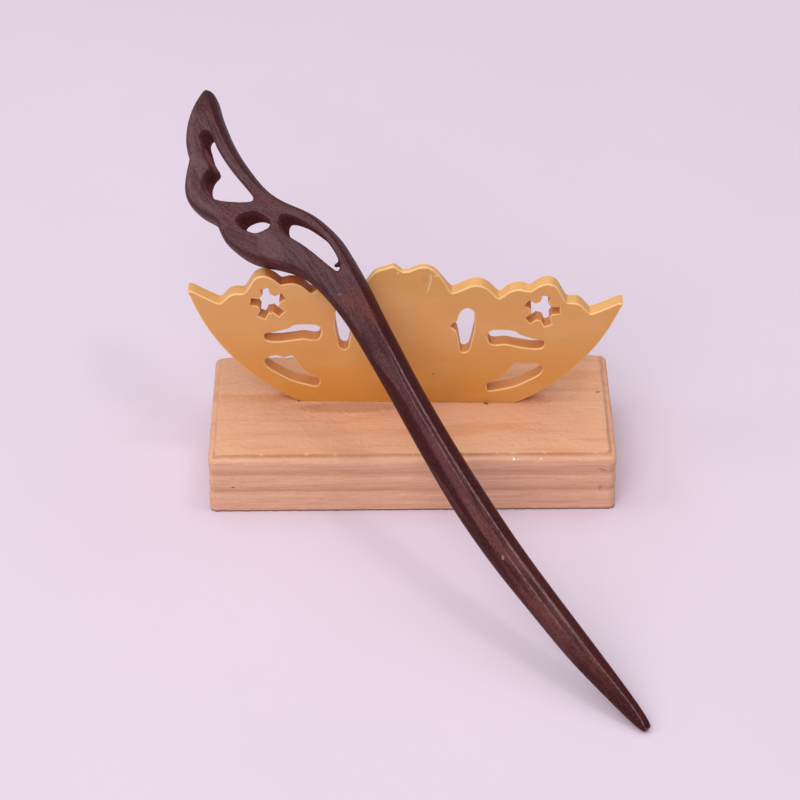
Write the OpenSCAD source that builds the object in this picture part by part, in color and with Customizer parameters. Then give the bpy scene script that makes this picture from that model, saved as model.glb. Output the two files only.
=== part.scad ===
// A carved wooden hair stick with a pierced wing-shaped head. It leans, tip on the floor, on a
// plain display stand: a thin crescent plate with a scalloped top, set in a small wooden block.
// Millimetres. +X right, +Y away from the front, +Z up. The origin is the middle of the block's
// underside, on the floor.

/* [Hair stick] */
// Length of the stick, from its blunt tip to the end of its head
stick_l = 181.5; // [150:0.5:220]
// Thickness of the head, square to its face
stick_t = 7; // [5:0.1:9]
// Width of the shaft at its widest
shaft_w = 7.7; // [6:0.1:10]
// How far the shaft bows to the left of a straight line from end to end
bow = 4; // [0:0.1:8]
// Length of the carved head, from the neck to its end
head_l = 71.7; // [55:0.1:90]
// Reach of the head's lobes to the left
head_reach = 18; // [14:0.1:24]
// Reach of the head's crest to the right
head_crest = 5.4; // [4:0.1:8]
// Radius that rounds the long edges
edge_r = 2.9; // [1:0.1:3.5]

/* [Stand plate] */
// Width of the plate across its two wing tips
plate_w = 96; // [80:1:120]
// Height of the plate, from its lowest point to its crest
plate_h = 40.6; // [33:0.1:50]
// Thickness of the plate
plate_t = 3.8; // [3:0.1:5]
// Straight stretch in the middle of the round lower edge
foot_flat = 6.5; // [2:0.1:12]
// Reach of a star's arms from its middle
star_reach = 3.9; // [3:0.1:4.6]
// Width of a star's arm
star_arm_w = 1.7; // [1:0.1:2]
// Radius of the star's round middle
star_core_r = 2.4; // [1.5:0.1:2.6]
// Thickness left at the crest of the two middle lobes, which are worn away behind
crest_t = 1.5; // [1:0.1:3]

/* [Stand base] */
// Width of the block
base_w = 90; // [72:1:120]
// Depth of the block, front to back
base_d = 42.5; // [34:0.5:60]
// Height of the block without the thin slab on top
base_h = 13.6; // [11:0.1:20]
// Thickness of the slab on top
slab_h = 0.9; // [0.5:0.1:2]
// Step from the block's edge in to the slab's edge
slab_inset = 1.4; // [0.5:0.1:3]
// Radius of the block's upright corners
corner_r = 1.6; // [0.8:0.1:4]
// Depth of the two grooves that run round the block
groove_depth = 0.45; // [0.2:0.05:0.8]
// How deep the plate's lower edge sits in the block
sink = 5.2; // [3:0.1:8]
// Clearance all round the plate in its slot
slot_gap = 0.15; // [0.05:0.05:0.5]

/* [Placing] */
// Place of the plate's middle to the right of the block's middle
plate_x = -2; // [-6:0.1:6]
// Place of the plate's front face behind the block's middle
plate_y = 0.6; // [-4:0.1:4]
// Turn of the plate about the vertical, in degrees
plate_turn = -1.4; // [-4:0.1:4]
// Lean of the plate in its own plane, in degrees, right wing down
plate_lean = 1.5; // [-3:0.1:3]
// Direction in which the stick points, seen from above, in degrees from +X
heading = 123.4; // [110:0.1:140]
// Turn of the stick about its own length, in degrees, face to the left
face_turn = -36; // [-50:0.1:0]
// Where the stick crosses the plate, as a share of its length from the tip
cross_at = 0.712; // [0.62:0.001:0.8]
// Place of that crossing to the right of the block's middle
cross_x = -18.7; // [-24:0.1:-12]
// Gap at which the stick rests on the plate's scalloped edge
rest_gap = 0.2; // [0.15:0.05:0.6]

/* [Hidden] */

// Facets of the curves
$fn = 48;
curve_steps = 3;
section_steps = 2;
corner_steps = 5;
arc_step = 3;
wear_steps = 4;
cut_over = 1;

shaft_l = stick_l - head_l;
base_top = base_h + slab_h;
wear_step = (plate_t - crest_t) / wear_steps;

// The shaft from the tip to the neck. Columns: along (share of shaft_l), line (the middle's
// offset to the left, share of bow), width (share of shaft_w), thick (share of stick_t)
SHAFT = [
    [0.000, 0.05, 0.24, 0.24],
    [0.008, 0.08, 0.31, 0.33],
    [0.030, 0.13, 0.43, 0.40],
    [0.095, 0.31, 0.60, 0.52],
    [0.200, 0.59, 0.79, 0.68],
    [0.320, 0.80, 0.87, 0.79],
    [0.440, 0.97, 0.95, 0.86],
    [0.570, 0.97, 1.00, 0.91],
    [0.700, 0.79, 0.96, 0.94],
    [0.830, 0.51, 0.93, 0.97],
    [0.920, 0.28, 0.97, 0.99],
    [1.000, 0.09, 1.02, 1.00],
];

// The head beyond the neck. Columns: along (share of head_l), left (share of head_reach),
// right (share of head_crest), thick (share of stick_t). The left edge has three lobes with a
// small notch between each two, the right edge one long crest.
HEAD = [
    [0.083, 0.236,  0.81, 1.00],
    [0.166, 0.261,  0.92, 1.00],
    [0.234, 0.307,  0.98, 1.00],
    [0.290, 0.380,  1.00, 1.00],
    [0.345, 0.522,  0.91, 1.00],
    [0.400, 0.707,  0.74, 1.00],
    [0.441, 0.804,  0.52, 1.00],
    [0.483, 0.860,  0.22, 1.00],
    [0.524, 0.892, -0.06, 1.00],
    [0.562, 0.876, -0.25, 1.00],
    [0.588, 0.862, -0.34, 1.00],
    [0.615, 0.893, -0.40, 1.00],
    [0.657, 0.967, -0.45, 1.00],
    [0.703, 1.000, -0.47, 1.00],
    [0.745, 0.967, -0.47, 1.00],
    [0.786, 0.848, -0.43, 1.00],
    [0.824, 0.702, -0.37, 1.00],
    [0.847, 0.674, -0.31, 1.00],
    [0.883, 0.614, -0.22, 1.00],
    [0.916, 0.522, -0.11, 1.00],
    [0.949, 0.391,  0.03, 0.97],
    [0.970, 0.278,  0.08, 0.90],
    [0.986, 0.165,  0.10, 0.78],
    [0.996, 0.085,  0.06, 0.60],
    [1.000, 0.050,  0.02, 0.40],
];

// The three piercings of the head, the large wing, the small oval and the long leaf.
// Columns: along (share of head_l), left (share of head_reach)
WING_HOLE = [
    [0.866, 0.304], [0.862, 0.390], [0.832, 0.435], [0.794, 0.478], [0.753, 0.495],
    [0.743, 0.620], [0.721, 0.710], [0.692, 0.728], [0.658, 0.696], [0.633, 0.630],
    [0.600, 0.500], [0.571, 0.360], [0.569, 0.281], [0.618, 0.288], [0.677, 0.310],
    [0.738, 0.315], [0.788, 0.304], [0.840, 0.270],
];
OVAL_HOLE = [
    [0.546, 0.605], [0.545, 0.489], [0.530, 0.380], [0.500, 0.310], [0.465, 0.284],
    [0.456, 0.345], [0.466, 0.490], [0.487, 0.560], [0.518, 0.612],
];
LEAF_HOLE = [
    [0.447, 0.190], [0.461, 0.125], [0.450, 0.060], [0.410, -0.038], [0.345, -0.125],
    [0.292, -0.162], [0.241, -0.158], [0.203, -0.125], [0.193, -0.055], [0.244, 0.005],
    [0.323, 0.087], [0.393, 0.190], [0.424, 0.212],
];

// The right half of the plate's scalloped top, one list for each hump, from the notch in the
// middle out to the wing tip. Columns: across (share of half of plate_w), up (share of plate_h)
HUMPS = [
    [[0.000, 0.966], [0.033, 0.985], [0.077, 1.000], [0.125, 0.980], [0.167, 0.929],
        [0.194, 0.872], [0.215, 0.833]],
    [[0.215, 0.833], [0.265, 0.865], [0.308, 0.889], [0.344, 0.889], [0.381, 0.867],
        [0.431, 0.808]],
    [[0.431, 0.808], [0.469, 0.850], [0.500, 0.869], [0.531, 0.872], [0.573, 0.860]],
    [[0.573, 0.860], [0.598, 0.887], [0.635, 0.911], [0.667, 0.911], [0.694, 0.892],
        [0.719, 0.842], [0.744, 0.796]],
    [[0.744, 0.796], [0.804, 0.796]],
    [[0.804, 0.796], [0.837, 0.749], [0.854, 0.729]],
    [[0.854, 0.729], [0.917, 0.764], [0.969, 0.797], [0.992, 0.808], [1.000, 0.805]],
];

// The right half's cut-outs, the upright slot, the level slot and the low leaf. Columns:
// across (share of half of plate_w), up (share of plate_h)
UPRIGHT_SLOT = [
    [0.250, 0.702], [0.269, 0.736], [0.292, 0.744], [0.319, 0.722], [0.321, 0.685],
    [0.321, 0.618], [0.314, 0.560], [0.300, 0.478], [0.279, 0.458], [0.262, 0.468],
    [0.256, 0.512], [0.240, 0.596], [0.212, 0.627], [0.240, 0.660],
];
LEVEL_SLOT = [
    [0.385, 0.562], [0.402, 0.517], [0.437, 0.517], [0.467, 0.522], [0.521, 0.510],
    [0.588, 0.505], [0.642, 0.526], [0.594, 0.559], [0.535, 0.584], [0.504, 0.606],
    [0.427, 0.611], [0.391, 0.596],
];
LOW_LEAF = [
    [0.396, 0.236], [0.431, 0.276], [0.473, 0.320], [0.498, 0.365], [0.513, 0.401],
    [0.533, 0.406], [0.554, 0.394], [0.588, 0.404], [0.623, 0.389], [0.642, 0.360],
    [0.623, 0.323], [0.573, 0.281], [0.504, 0.241], [0.437, 0.224],
];

// Middle of the right half's star. Columns: across (share of half of plate_w), up (share of
// plate_h)
STAR_AT = [0.629, 0.739];
star_arms = 5;
star_turn = 5;

// The block from its foot up. Columns: bottom and top (shares of base_h), step in from the
// widest outline (share of groove_depth)
TIERS = [
    [0.00, 0.04, 0.8],
    [0.04, 0.30, 0.0],
    [0.30, 0.39, 1.0],
    [0.39, 0.62, 0.0],
    [0.62, 0.71, 1.0],
    [0.71, 0.94, 0.0],
    [0.94, 1.00, 0.8],
];

// Smooth curves through chosen points
function blend(a, b, c, d, t) =
    b + (c - a) * t / 2 + (a - 2.5 * b + 2 * c - d / 2) * t * t
    + (1.5 * b - a / 2 - 1.5 * c + d / 2) * t * t * t;

function open_curve(points, steps) =
    let(last = len(points) - 1)
    [
        for (i = [0 : last - 1], j = [0 : steps - 1])
            blend(points[max(i - 1, 0)], points[i], points[i + 1], points[min(i + 2, last)],
                j / steps),
        points[last],
    ];

function closed_curve(points, steps) =
    let(n = len(points))
    [
        for (i = [0 : n - 1], j = [0 : steps - 1])
            blend(points[(i + n - 1) % n], points[i], points[(i + 1) % n], points[(i + 2) % n],
                j / steps),
    ];

// Sections of the stick in its own frame, tip at the origin, +Y towards the head, +X to the
// right and +Z out of its face. Columns: along, low and high in X, thick
function shaft_section(row) =
    let(middle = -row[1] * bow, half = row[2] * shaft_w / 2)
    [row[0] * shaft_l, middle - half, middle + half, row[3] * stick_t];

function head_section(row) =
    [shaft_l + row[0] * head_l, -row[1] * head_reach, row[2] * head_crest, row[3] * stick_t];

SECTIONS = open_curve(
    concat([for (row = SHAFT) shaft_section(row)], [for (row = HEAD) head_section(row)]),
    section_steps);

LOW_AT = [for (s = SECTIONS) [s[0], s[1]]];
HIGH_AT = [for (s = SECTIONS) [s[0], s[2]]];
THICK_AT = [for (s = SECTIONS) [s[0], s[3]]];

// Radius of a section's corners, across and through the stick
function round_x(s) = min(edge_r, 0.42 * (s[2] - s[1]));
function round_z(s) = min(edge_r, 0.46 * s[3]);

// Points round one section
function ring(s) =
    let(middle = (s[1] + s[2]) / 2, flat_x = (s[2] - s[1]) / 2 - round_x(s),
        flat_z = s[3] / 2 - round_z(s))
    [
        for (corner = [0 : 3], i = [0 : corner_steps])
            let(angle = 90 * (corner + i / corner_steps),
                side = corner == 0 || corner == 3 ? 1 : -1,
                face = corner < 2 ? 1 : -1)
            [middle + side * flat_x + round_x(s) * cos(angle), s[0],
                face * flat_z + round_z(s) * sin(angle)],
    ];

ring_size = 4 * (corner_steps + 1);

// Places on the stand. The plate's frame has its foot line at the slab's top
function leaned(p, a) = [p.x * cos(a) + p.z * sin(a), p.y, p.z * cos(a) - p.x * sin(a)];
function turned(p, a) = [p.x * cos(a) - p.y * sin(a), p.x * sin(a) + p.y * cos(a), p.z];
function on_plate(p) =
    turned(leaned(p, plate_lean) + [plate_x, 0, 0], plate_turn) + [0, plate_y, base_top];

function plate_xz(row) = [row[0] * plate_w / 2, row[1] * plate_h - sink];

// The right half's top edge at a depth behind the front face, where the middle lobes are lower
function half_top(depth) = [
    for (i = [0 : len(HUMPS) - 1], row = open_curve(HUMPS[i], curve_steps))
        plate_xz(row) - [0, i == 0 ? max(depth - crest_t, 0) : 0],
];

// The stick's own directions at a given pitch: side, along and face
function directions(pitch) =
    let(along = [cos(pitch) * cos(heading), cos(pitch) * sin(heading), sin(pitch)],
        side = [sin(heading), -cos(heading), 0],
        face = cross(side, along))
    [side * cos(face_turn) - face * sin(face_turn), along,
        face * cos(face_turn) + side * sin(face_turn)];

// Place of the tip: its lowest point on the floor, its line over the crossing on the plate
tip_points = [for (i = [0 : 3 * section_steps]) each ring(SECTIONS[i])];
function tip_at(pitch) =
    let(run = cross_at * stick_l * cos(pitch), d = directions(pitch),
        up = [d[0].z, d[1].z, d[2].z])
    [cross_x - run * cos(heading), plate_y - run * sin(heading),
        -min([for (p = tip_points) p * up])];

// Points of the plate's top edge that the stick could touch, on both faces and between them
edge_points = [
    for (share = [0 : 0.25 : 1], p = half_top(share * plate_t), side = [-1, 1])
        on_plate([side * p[0], share * plate_t, p[1]]),
];

// Distance of a point below or beside the stick, given in the stick's own frame. It is below
// zero inside the stick and above it
function off_stick(p) =
    let(s = [p.y, lookup(p.y, LOW_AT), lookup(p.y, HIGH_AT), lookup(p.y, THICK_AT)],
        r = min(round_x(s), round_z(s)),
        out_x = abs(p.x - (s[1] + s[2]) / 2) - (s[2] - s[1]) / 2 + r,
        out_z = -p.z - s[3] / 2 + r)
    norm([max(out_x, 0), max(out_z, 0)]) + min(max(out_x, out_z), 0) - r;

function clears(pitch) =
    let(tip = tip_at(pitch), d = directions(pitch))
    min([for (p = edge_points) off_stick(d * (p - tip))]) >= rest_gap;

// Lowest pitch at which the stick clears the plate, found by halving
function settled(low, high, tries) =
    tries == 0 ? high
    : clears((low + high) / 2) ? settled(low, (low + high) / 2, tries - 1)
    : settled((low + high) / 2, high, tries - 1);

rest_pitch = settled(5, 45, 16);

// The plate's round lower edge, through the wing tip and level at the foot
tip_up = HUMPS[6][4][1] * plate_h;
belly_x = foot_flat / 2;
belly_r = (pow(plate_w / 2 - belly_x, 2) + pow(tip_up, 2)) / (2 * tip_up);
belly_end = asin((tip_up - belly_r) / belly_r);
function belly_half(up) = belly_x + sqrt(pow(belly_r, 2) - pow(belly_r - up, 2));

module hair_stick() {
    color([0.25, 0.14, 0.13])
    translate(tip_at(rest_pitch))
    rotate([0, 0, heading - 90])
    rotate([rest_pitch, 0, 0])
    rotate([0, face_turn, 0])
    difference() {
        stick_body();
        for (hole = [WING_HOLE, OVAL_HOLE, LEAF_HOLE])
            head_hole(hole);
    }
}

module stick_body() {
    last = len(SECTIONS) - 1;
    polyhedron(
        points = [for (s = SECTIONS) each ring(s)],
        faces = concat(
            [[for (j = [0 : ring_size - 1]) ring_size - 1 - j]],
            [for (i = [0 : last - 1], j = [0 : ring_size - 1])
                let(k = (j + 1) % ring_size)
                each [
                    [i * ring_size + j, i * ring_size + k, (i + 1) * ring_size + k],
                    [i * ring_size + j, (i + 1) * ring_size + k, (i + 1) * ring_size + j],
                ]],
            [[for (j = [0 : ring_size - 1]) last * ring_size + j]]));
}

// One piercing, cut square to the face
module head_hole(rows) {
    points = [for (row = rows) [-row[1] * head_reach, shaft_l + row[0] * head_l]];
    translate([0, 0, -stick_t / 2 - cut_over])
    linear_extrude(stick_t + 2 * cut_over)
    polygon(closed_curve(points, curve_steps));
}

// Moves its children from the plate's own frame to their place on the block
module placed_plate() {
    translate([0, plate_y, base_top])
    rotate([0, 0, plate_turn])
    translate([plate_x, 0, 0])
    rotate([0, plate_lean, 0])
    children();
}

// Stands a flat outline up as a sheet that runs back from the plate's front face
module upright(thick, front) {
    rotate([90, 0, 0])
    translate([0, 0, -front - thick])
    linear_extrude(thick)
    children();
}

module stand_plate() {
    color([0.86, 0.60, 0.30])
    placed_plate()
    difference() {
        union() {
            upright(crest_t, 0)
            plate_outline(0);
            for (i = [0 : wear_steps - 1])
                upright(wear_step, crest_t + i * wear_step)
                plate_outline(crest_t + (i + 0.5) * wear_step);
        }
        upright(plate_t + 2 * cut_over, -cut_over)
        for (side = [-1, 1])
            plate_cuts(side);
    }
}

// The plate's outline at a depth behind its front face
module plate_outline(depth) {
    top = half_top(depth);
    belly = [
        for (angle = [belly_end : -arc_step : -90])
            [belly_x + belly_r * cos(angle), belly_r - sink + belly_r * sin(angle)],
        [belly_x, -sink],
    ];
    right = concat(top, belly);
    last = len(right) - 1;
    polygon(concat(right, [for (i = [0 : last]) [-right[last - i][0], right[last - i][1]]]));
}

// The cut-outs of one half of the plate
module plate_cuts(side) {
    for (rows = [UPRIGHT_SLOT, LEVEL_SLOT, LOW_LEAF])
        polygon(closed_curve(
            [for (row = rows) [side * plate_xz(row)[0], plate_xz(row)[1]]], curve_steps));
    translate([side * plate_xz(STAR_AT)[0], plate_xz(STAR_AT)[1]])
    scale([side, 1])
    star();
}

module star() {
    circle(star_core_r);
    for (i = [0 : star_arms - 1])
        rotate(star_turn + i * 360 / star_arms)
        translate([0, -star_arm_w / 2])
        square([star_reach, star_arm_w]);
}

module stand_base() {
    slot_half = belly_half(sink + plate_w / 4 * abs(sin(plate_lean))) + slot_gap;
    color([0.88, 0.66, 0.52])
    difference() {
        union() {
            for (tier = TIERS)
                translate([0, 0, tier[0] * base_h])
                rounded_slab(tier[2] * groove_depth, (tier[1] - tier[0]) * base_h);
            translate([0, 0, base_h])
            rounded_slab(slab_inset, slab_h);
        }
        placed_plate()
        upright(plate_t + 2 * slot_gap, -slot_gap)
        translate([-slot_half, -sink - 2 * slot_gap])
        square([2 * slot_half, sink + slab_h + 2 * slot_gap + cut_over]);
    }
}

// A slab with round upright corners, set in from the block's outline
module rounded_slab(inset, height) {
    w = base_w - 2 * inset;
    d = base_d - 2 * inset;
    linear_extrude(height)
    union() {
        square([w - 2 * corner_r, d], center = true);
        square([w, d - 2 * corner_r], center = true);
        for (x = [-1, 1], y = [-1, 1])
            translate([x * (w / 2 - corner_r), y * (d / 2 - corner_r)])
            circle(corner_r);
    }
}

hair_stick();
stand_plate();
stand_base();
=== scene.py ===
"""A carved wooden hair stick on its display stand, finished for render and export.

Pieces are modelled in millimetres in a frame of their own, and `settle` brings them to metres and
to their place in the row's frame.
"""
import logging
import math
from dataclasses import dataclass
from enum import Enum
from typing import Callable, NamedTuple, Sequence

import bmesh
import bpy
import numpy as np
from mathutils import Matrix, Vector
from mathutils.kdtree import KDTree


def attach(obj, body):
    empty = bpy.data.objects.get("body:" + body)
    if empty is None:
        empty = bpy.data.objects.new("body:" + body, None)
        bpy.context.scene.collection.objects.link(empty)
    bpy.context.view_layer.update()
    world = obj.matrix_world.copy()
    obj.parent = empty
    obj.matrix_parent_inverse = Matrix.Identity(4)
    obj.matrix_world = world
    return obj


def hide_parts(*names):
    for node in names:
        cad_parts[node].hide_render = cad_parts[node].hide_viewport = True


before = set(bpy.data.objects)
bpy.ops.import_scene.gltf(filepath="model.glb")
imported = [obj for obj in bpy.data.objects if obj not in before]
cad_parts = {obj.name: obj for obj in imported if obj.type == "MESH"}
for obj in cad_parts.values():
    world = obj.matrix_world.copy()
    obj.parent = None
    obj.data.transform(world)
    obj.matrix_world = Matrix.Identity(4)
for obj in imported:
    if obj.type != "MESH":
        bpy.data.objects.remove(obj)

LOG = logging.getLogger("hair_stick")
MM = 0.001
# An outline that turns by more than this has a corner
CORNER = math.radians(25)
# Edges that turn by more than this stay sharp
SHARP = math.radians(35)
# Places of a Mix node's factor and two colours among its inputs, and of the colour it gives
MIX_INPUTS = (0, 6, 7)
MIX_OUTPUT = 2
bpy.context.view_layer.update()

Colour = tuple[float, float, float]
Place = tuple[float, float, float]
Outlines = Sequence[Sequence[Vector]]
Socket = bpy.types.NodeSocket


class Axis(Enum):
    """The axes of a frame, by their places in a row of coordinates."""

    X = 0
    Y = 1
    Z = 2


def blend(a: Vector, b: Vector, c: Vector, d: Vector, t: float) -> Vector:
    """Finds a place on the smooth curve that passes b and c.

    Args:
        a: The point before b.
        b: The point at which the stretch starts.
        c: The point at which it ends.
        d: The point after c.
        t: How far along the stretch, from 0 to 1.

    Returns:
        The place on the curve.
    """
    return (
        b
        + (c - a) * (t / 2)
        + (a - 2.5 * b + 2 * c - 0.5 * d) * t**2
        + (1.5 * b - 0.5 * a - 1.5 * c + 0.5 * d) * t**3
    )


def open_curve(points: Sequence[Sequence[float]], steps: int) -> list[Vector]:
    """Draws a smooth open curve through chosen points.

    Args:
        points: The points, in order.
        steps: How many stretches each gap is divided into.

    Returns:
        The curve's points, with the chosen ones among them.
    """
    rows = [Vector(point) for point in points]
    rows = [rows[0], *rows, rows[-1]]
    curve = [
        blend(*rows[i : i + 4], step / steps) for i in range(len(rows) - 3) for step in range(steps)
    ]
    return [*curve, rows[-1]]


def closed_curve(points: Sequence[Sequence[float]], steps: int) -> list[Vector]:
    """Draws a smooth closed curve through chosen points.

    Args:
        points: The points, in order, without the first again at the end.
        steps: How many stretches each gap is divided into.

    Returns:
        The curve's points.
    """
    rows = [Vector(point) for point in points]
    count = len(rows)
    return [
        blend(*(rows[(i + shift) % count] for shift in (-1, 0, 1, 2)), step / steps)
        for i in range(count)
        for step in range(steps)
    ]


def steps_round(loop: Sequence[Vector]) -> list[tuple[Vector, Vector, Vector]]:
    """Gives each point of a closed outline between the one before and the one after it."""
    return list(zip([*loop[-1:], *loop[:-1]], loop, [*loop[1:], *loop[:1]]))


def spaced(loop: Sequence[Vector], gap: float) -> list[Vector]:
    """Thins out a closed outline where its points lie close together, and keeps its corners.

    Args:
        loop: The points, in order.
        gap: The least distance between two points that are kept.

    Returns:
        The points that are kept.
    """
    kept: list[Vector] = []
    corners: list[bool] = []
    for before, here, after in steps_round(loop):
        corner = (here - before).angle(after - here) > CORNER
        while corner and kept and not corners[-1] and (here - kept[-1]).length < gap:
            kept.pop()
            corners.pop()
        if corner or not kept or (here - kept[-1]).length >= gap:
            kept.append(here)
            corners.append(corner)
    if (kept[0] - kept[-1]).length < gap:
        kept.pop()
    return kept


def grown(loop: Sequence[Vector], size: float) -> list[Vector]:
    """Moves a closed outline outwards by a small distance.

    Args:
        loop: The points, in order, either way round.
        size: How far they move; less than 0 moves them inwards.

    Returns:
        The moved points.
    """
    steps = steps_round(loop)
    area = sum(here.x * after.y - here.y * after.x for _, here, after in steps)
    out = math.copysign(size, size * area)
    moved = []
    for before, here, after in steps:
        along = ((here - before).normalized() + (after - here).normalized()).normalized()
        moved.append(here + Vector((along.y, -along.x)) * out)
    return moved


def deselect_all() -> None:
    """Leaves nothing selected, so that the next operator acts on its own piece only."""
    bpy.ops.object.select_all(action="DESELECT")


def pick(piece: bpy.types.Object, chosen: Callable[[bmesh.types.BMVert], bool]) -> None:
    """Selects points of the piece in edit mode.

    Args:
        piece: The piece, in edit mode.
        chosen: Says whether a point is to be selected.
    """
    mesh = bmesh.from_edit_mesh(piece.data)
    for vert in mesh.verts:
        vert.select = chosen(vert)
    mesh.select_mode = {"VERT"}
    mesh.select_flush_mode()
    bmesh.update_edit_mesh(piece.data)


def apply_modifier(piece: bpy.types.Object, kind: str, **settings: object) -> None:
    """Adds a modifier to a piece in object mode and applies it.

    Args:
        piece: The piece.
        kind: The modifier's type.
        **settings: Its settings, by their own names.
    """
    modifier = piece.modifiers.new(kind.title(), kind)
    for name, value in settings.items():
        setattr(modifier, name, value)
    bpy.context.view_layer.objects.active = piece
    bpy.ops.object.modifier_apply(modifier=modifier.name)


def combine(piece: bpy.types.Object, other: bpy.types.Object, operation: str) -> None:
    """Cuts another shape out of a piece or joins it on, and removes the other shape.

    Args:
        piece: The piece, in object mode.
        other: The other shape.
        operation: DIFFERENCE or UNION.
    """
    apply_modifier(piece, "BOOLEAN", operation=operation, object=other, solver="EXACT")
    bpy.data.objects.remove(other)


def smooth_remesh(piece: bpy.types.Object, voxel: float, rounds: int) -> None:
    """Builds a piece's skin anew out of small even faces and smooths it.

    Args:
        piece: The piece, in object mode.
        voxel: The size of the faces.
        rounds: How many times it is smoothed.
    """
    apply_modifier(piece, "REMESH", mode="VOXEL", voxel_size=voxel, use_smooth_shade=True)
    apply_modifier(piece, "SMOOTH", factor=0.5, iterations=rounds)


def extrude(shift: Place) -> None:
    """Draws what is selected out by a distance."""
    bpy.ops.mesh.extrude_region_move(TRANSFORM_OT_translate={"value": shift})


def close_up() -> None:
    """Turns the faces of the piece in edit mode outwards and leaves that mode."""
    bpy.ops.mesh.select_all(action="SELECT")
    bpy.ops.mesh.normals_make_consistent(inside=False)
    bpy.ops.object.mode_set(mode="OBJECT")


def nearest(points: Sequence[Place]) -> KDTree:
    """Makes a finder of the nearest of some points.

    Args:
        points: The points.

    Returns:
        The finder.
    """
    tree = KDTree(len(points))
    for number, point in enumerate(points):
        tree.insert(point, number)
    tree.balance()
    return tree


def write_chart(piece: bpy.types.Object, name: str, values: Sequence[float] | np.ndarray) -> None:
    """Charts values at a piece's points, where its material reads them.

    Args:
        piece: The piece, in object mode.
        name: The chart's name.
        values: A number for each point, or a row of three.
    """
    numbers = np.asarray(values, dtype=np.float32)
    kind, field = ("FLOAT", "value") if numbers.ndim == 1 else ("FLOAT_VECTOR", "vector")
    chart = piece.data.attributes.new(name, kind, "POINT")
    chart.data.foreach_set(field, numbers.ravel())


def outline_sheet(name: str, loops: Outlines) -> bpy.types.Object:
    """Makes a flat sheet in the XZ plane from its outline and the outlines of its holes.

    Args:
        name: The piece's name.
        loops: Closed outlines, each a list of points across and up, in millimetres.

    Returns:
        The sheet, in edit mode, with everything selected.
    """
    deselect_all()
    bpy.ops.mesh.primitive_circle_add(vertices=len(loops[0]), fill_type="NOTHING")
    piece = bpy.context.object
    piece.name = name
    bpy.ops.object.mode_set(mode="EDIT")
    for loop in loops[1:]:
        bpy.ops.mesh.primitive_circle_add(vertices=len(loop), fill_type="NOTHING")
    mesh = bmesh.from_edit_mesh(piece.data)
    mesh.verts.ensure_lookup_table()
    points = [point for loop in loops for point in loop]
    for vert, point in zip(mesh.verts, points, strict=True):
        vert.co = (point.x, 0, point.y)
    bmesh.update_edit_mesh(piece.data)
    bpy.ops.mesh.select_all(action="SELECT")
    bpy.ops.mesh.fill(use_beauty=True)
    bpy.ops.mesh.select_all(action="SELECT")
    return piece


def settle(piece: bpy.types.Object, place: Matrix, material: bpy.types.Material) -> None:
    """Finishes a piece: turns its faces outwards, puts it in its place and dresses it. What
    smoothing has pushed below the floor is brought up to it.

    Args:
        piece: The piece, in object mode, in millimetres in its own frame.
        place: Its place in the row's frame, in millimetres.
        material: Its finish.
    """
    deselect_all()
    piece.select_set(True)
    bpy.context.view_layer.objects.active = piece
    bpy.ops.object.mode_set(mode="EDIT")
    close_up()
    piece.matrix_world = Matrix.Scale(MM, 4) @ place
    bpy.ops.object.transform_apply(location=True, rotation=True, scale=True)
    for vert in piece.data.vertices:
        vert.co.z = max(vert.co.z, 0.0)
    piece.data.materials.clear()
    piece.data.materials.append(material)


class Mark(NamedTuple):
    """A small stain, scratch or speck on a surface: an ellipse in the piece's own frame, turned
    about its Y by some degrees."""

    at: Place
    half: Place
    colour: Colour
    strength: float
    turn: float = 0.0


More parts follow.
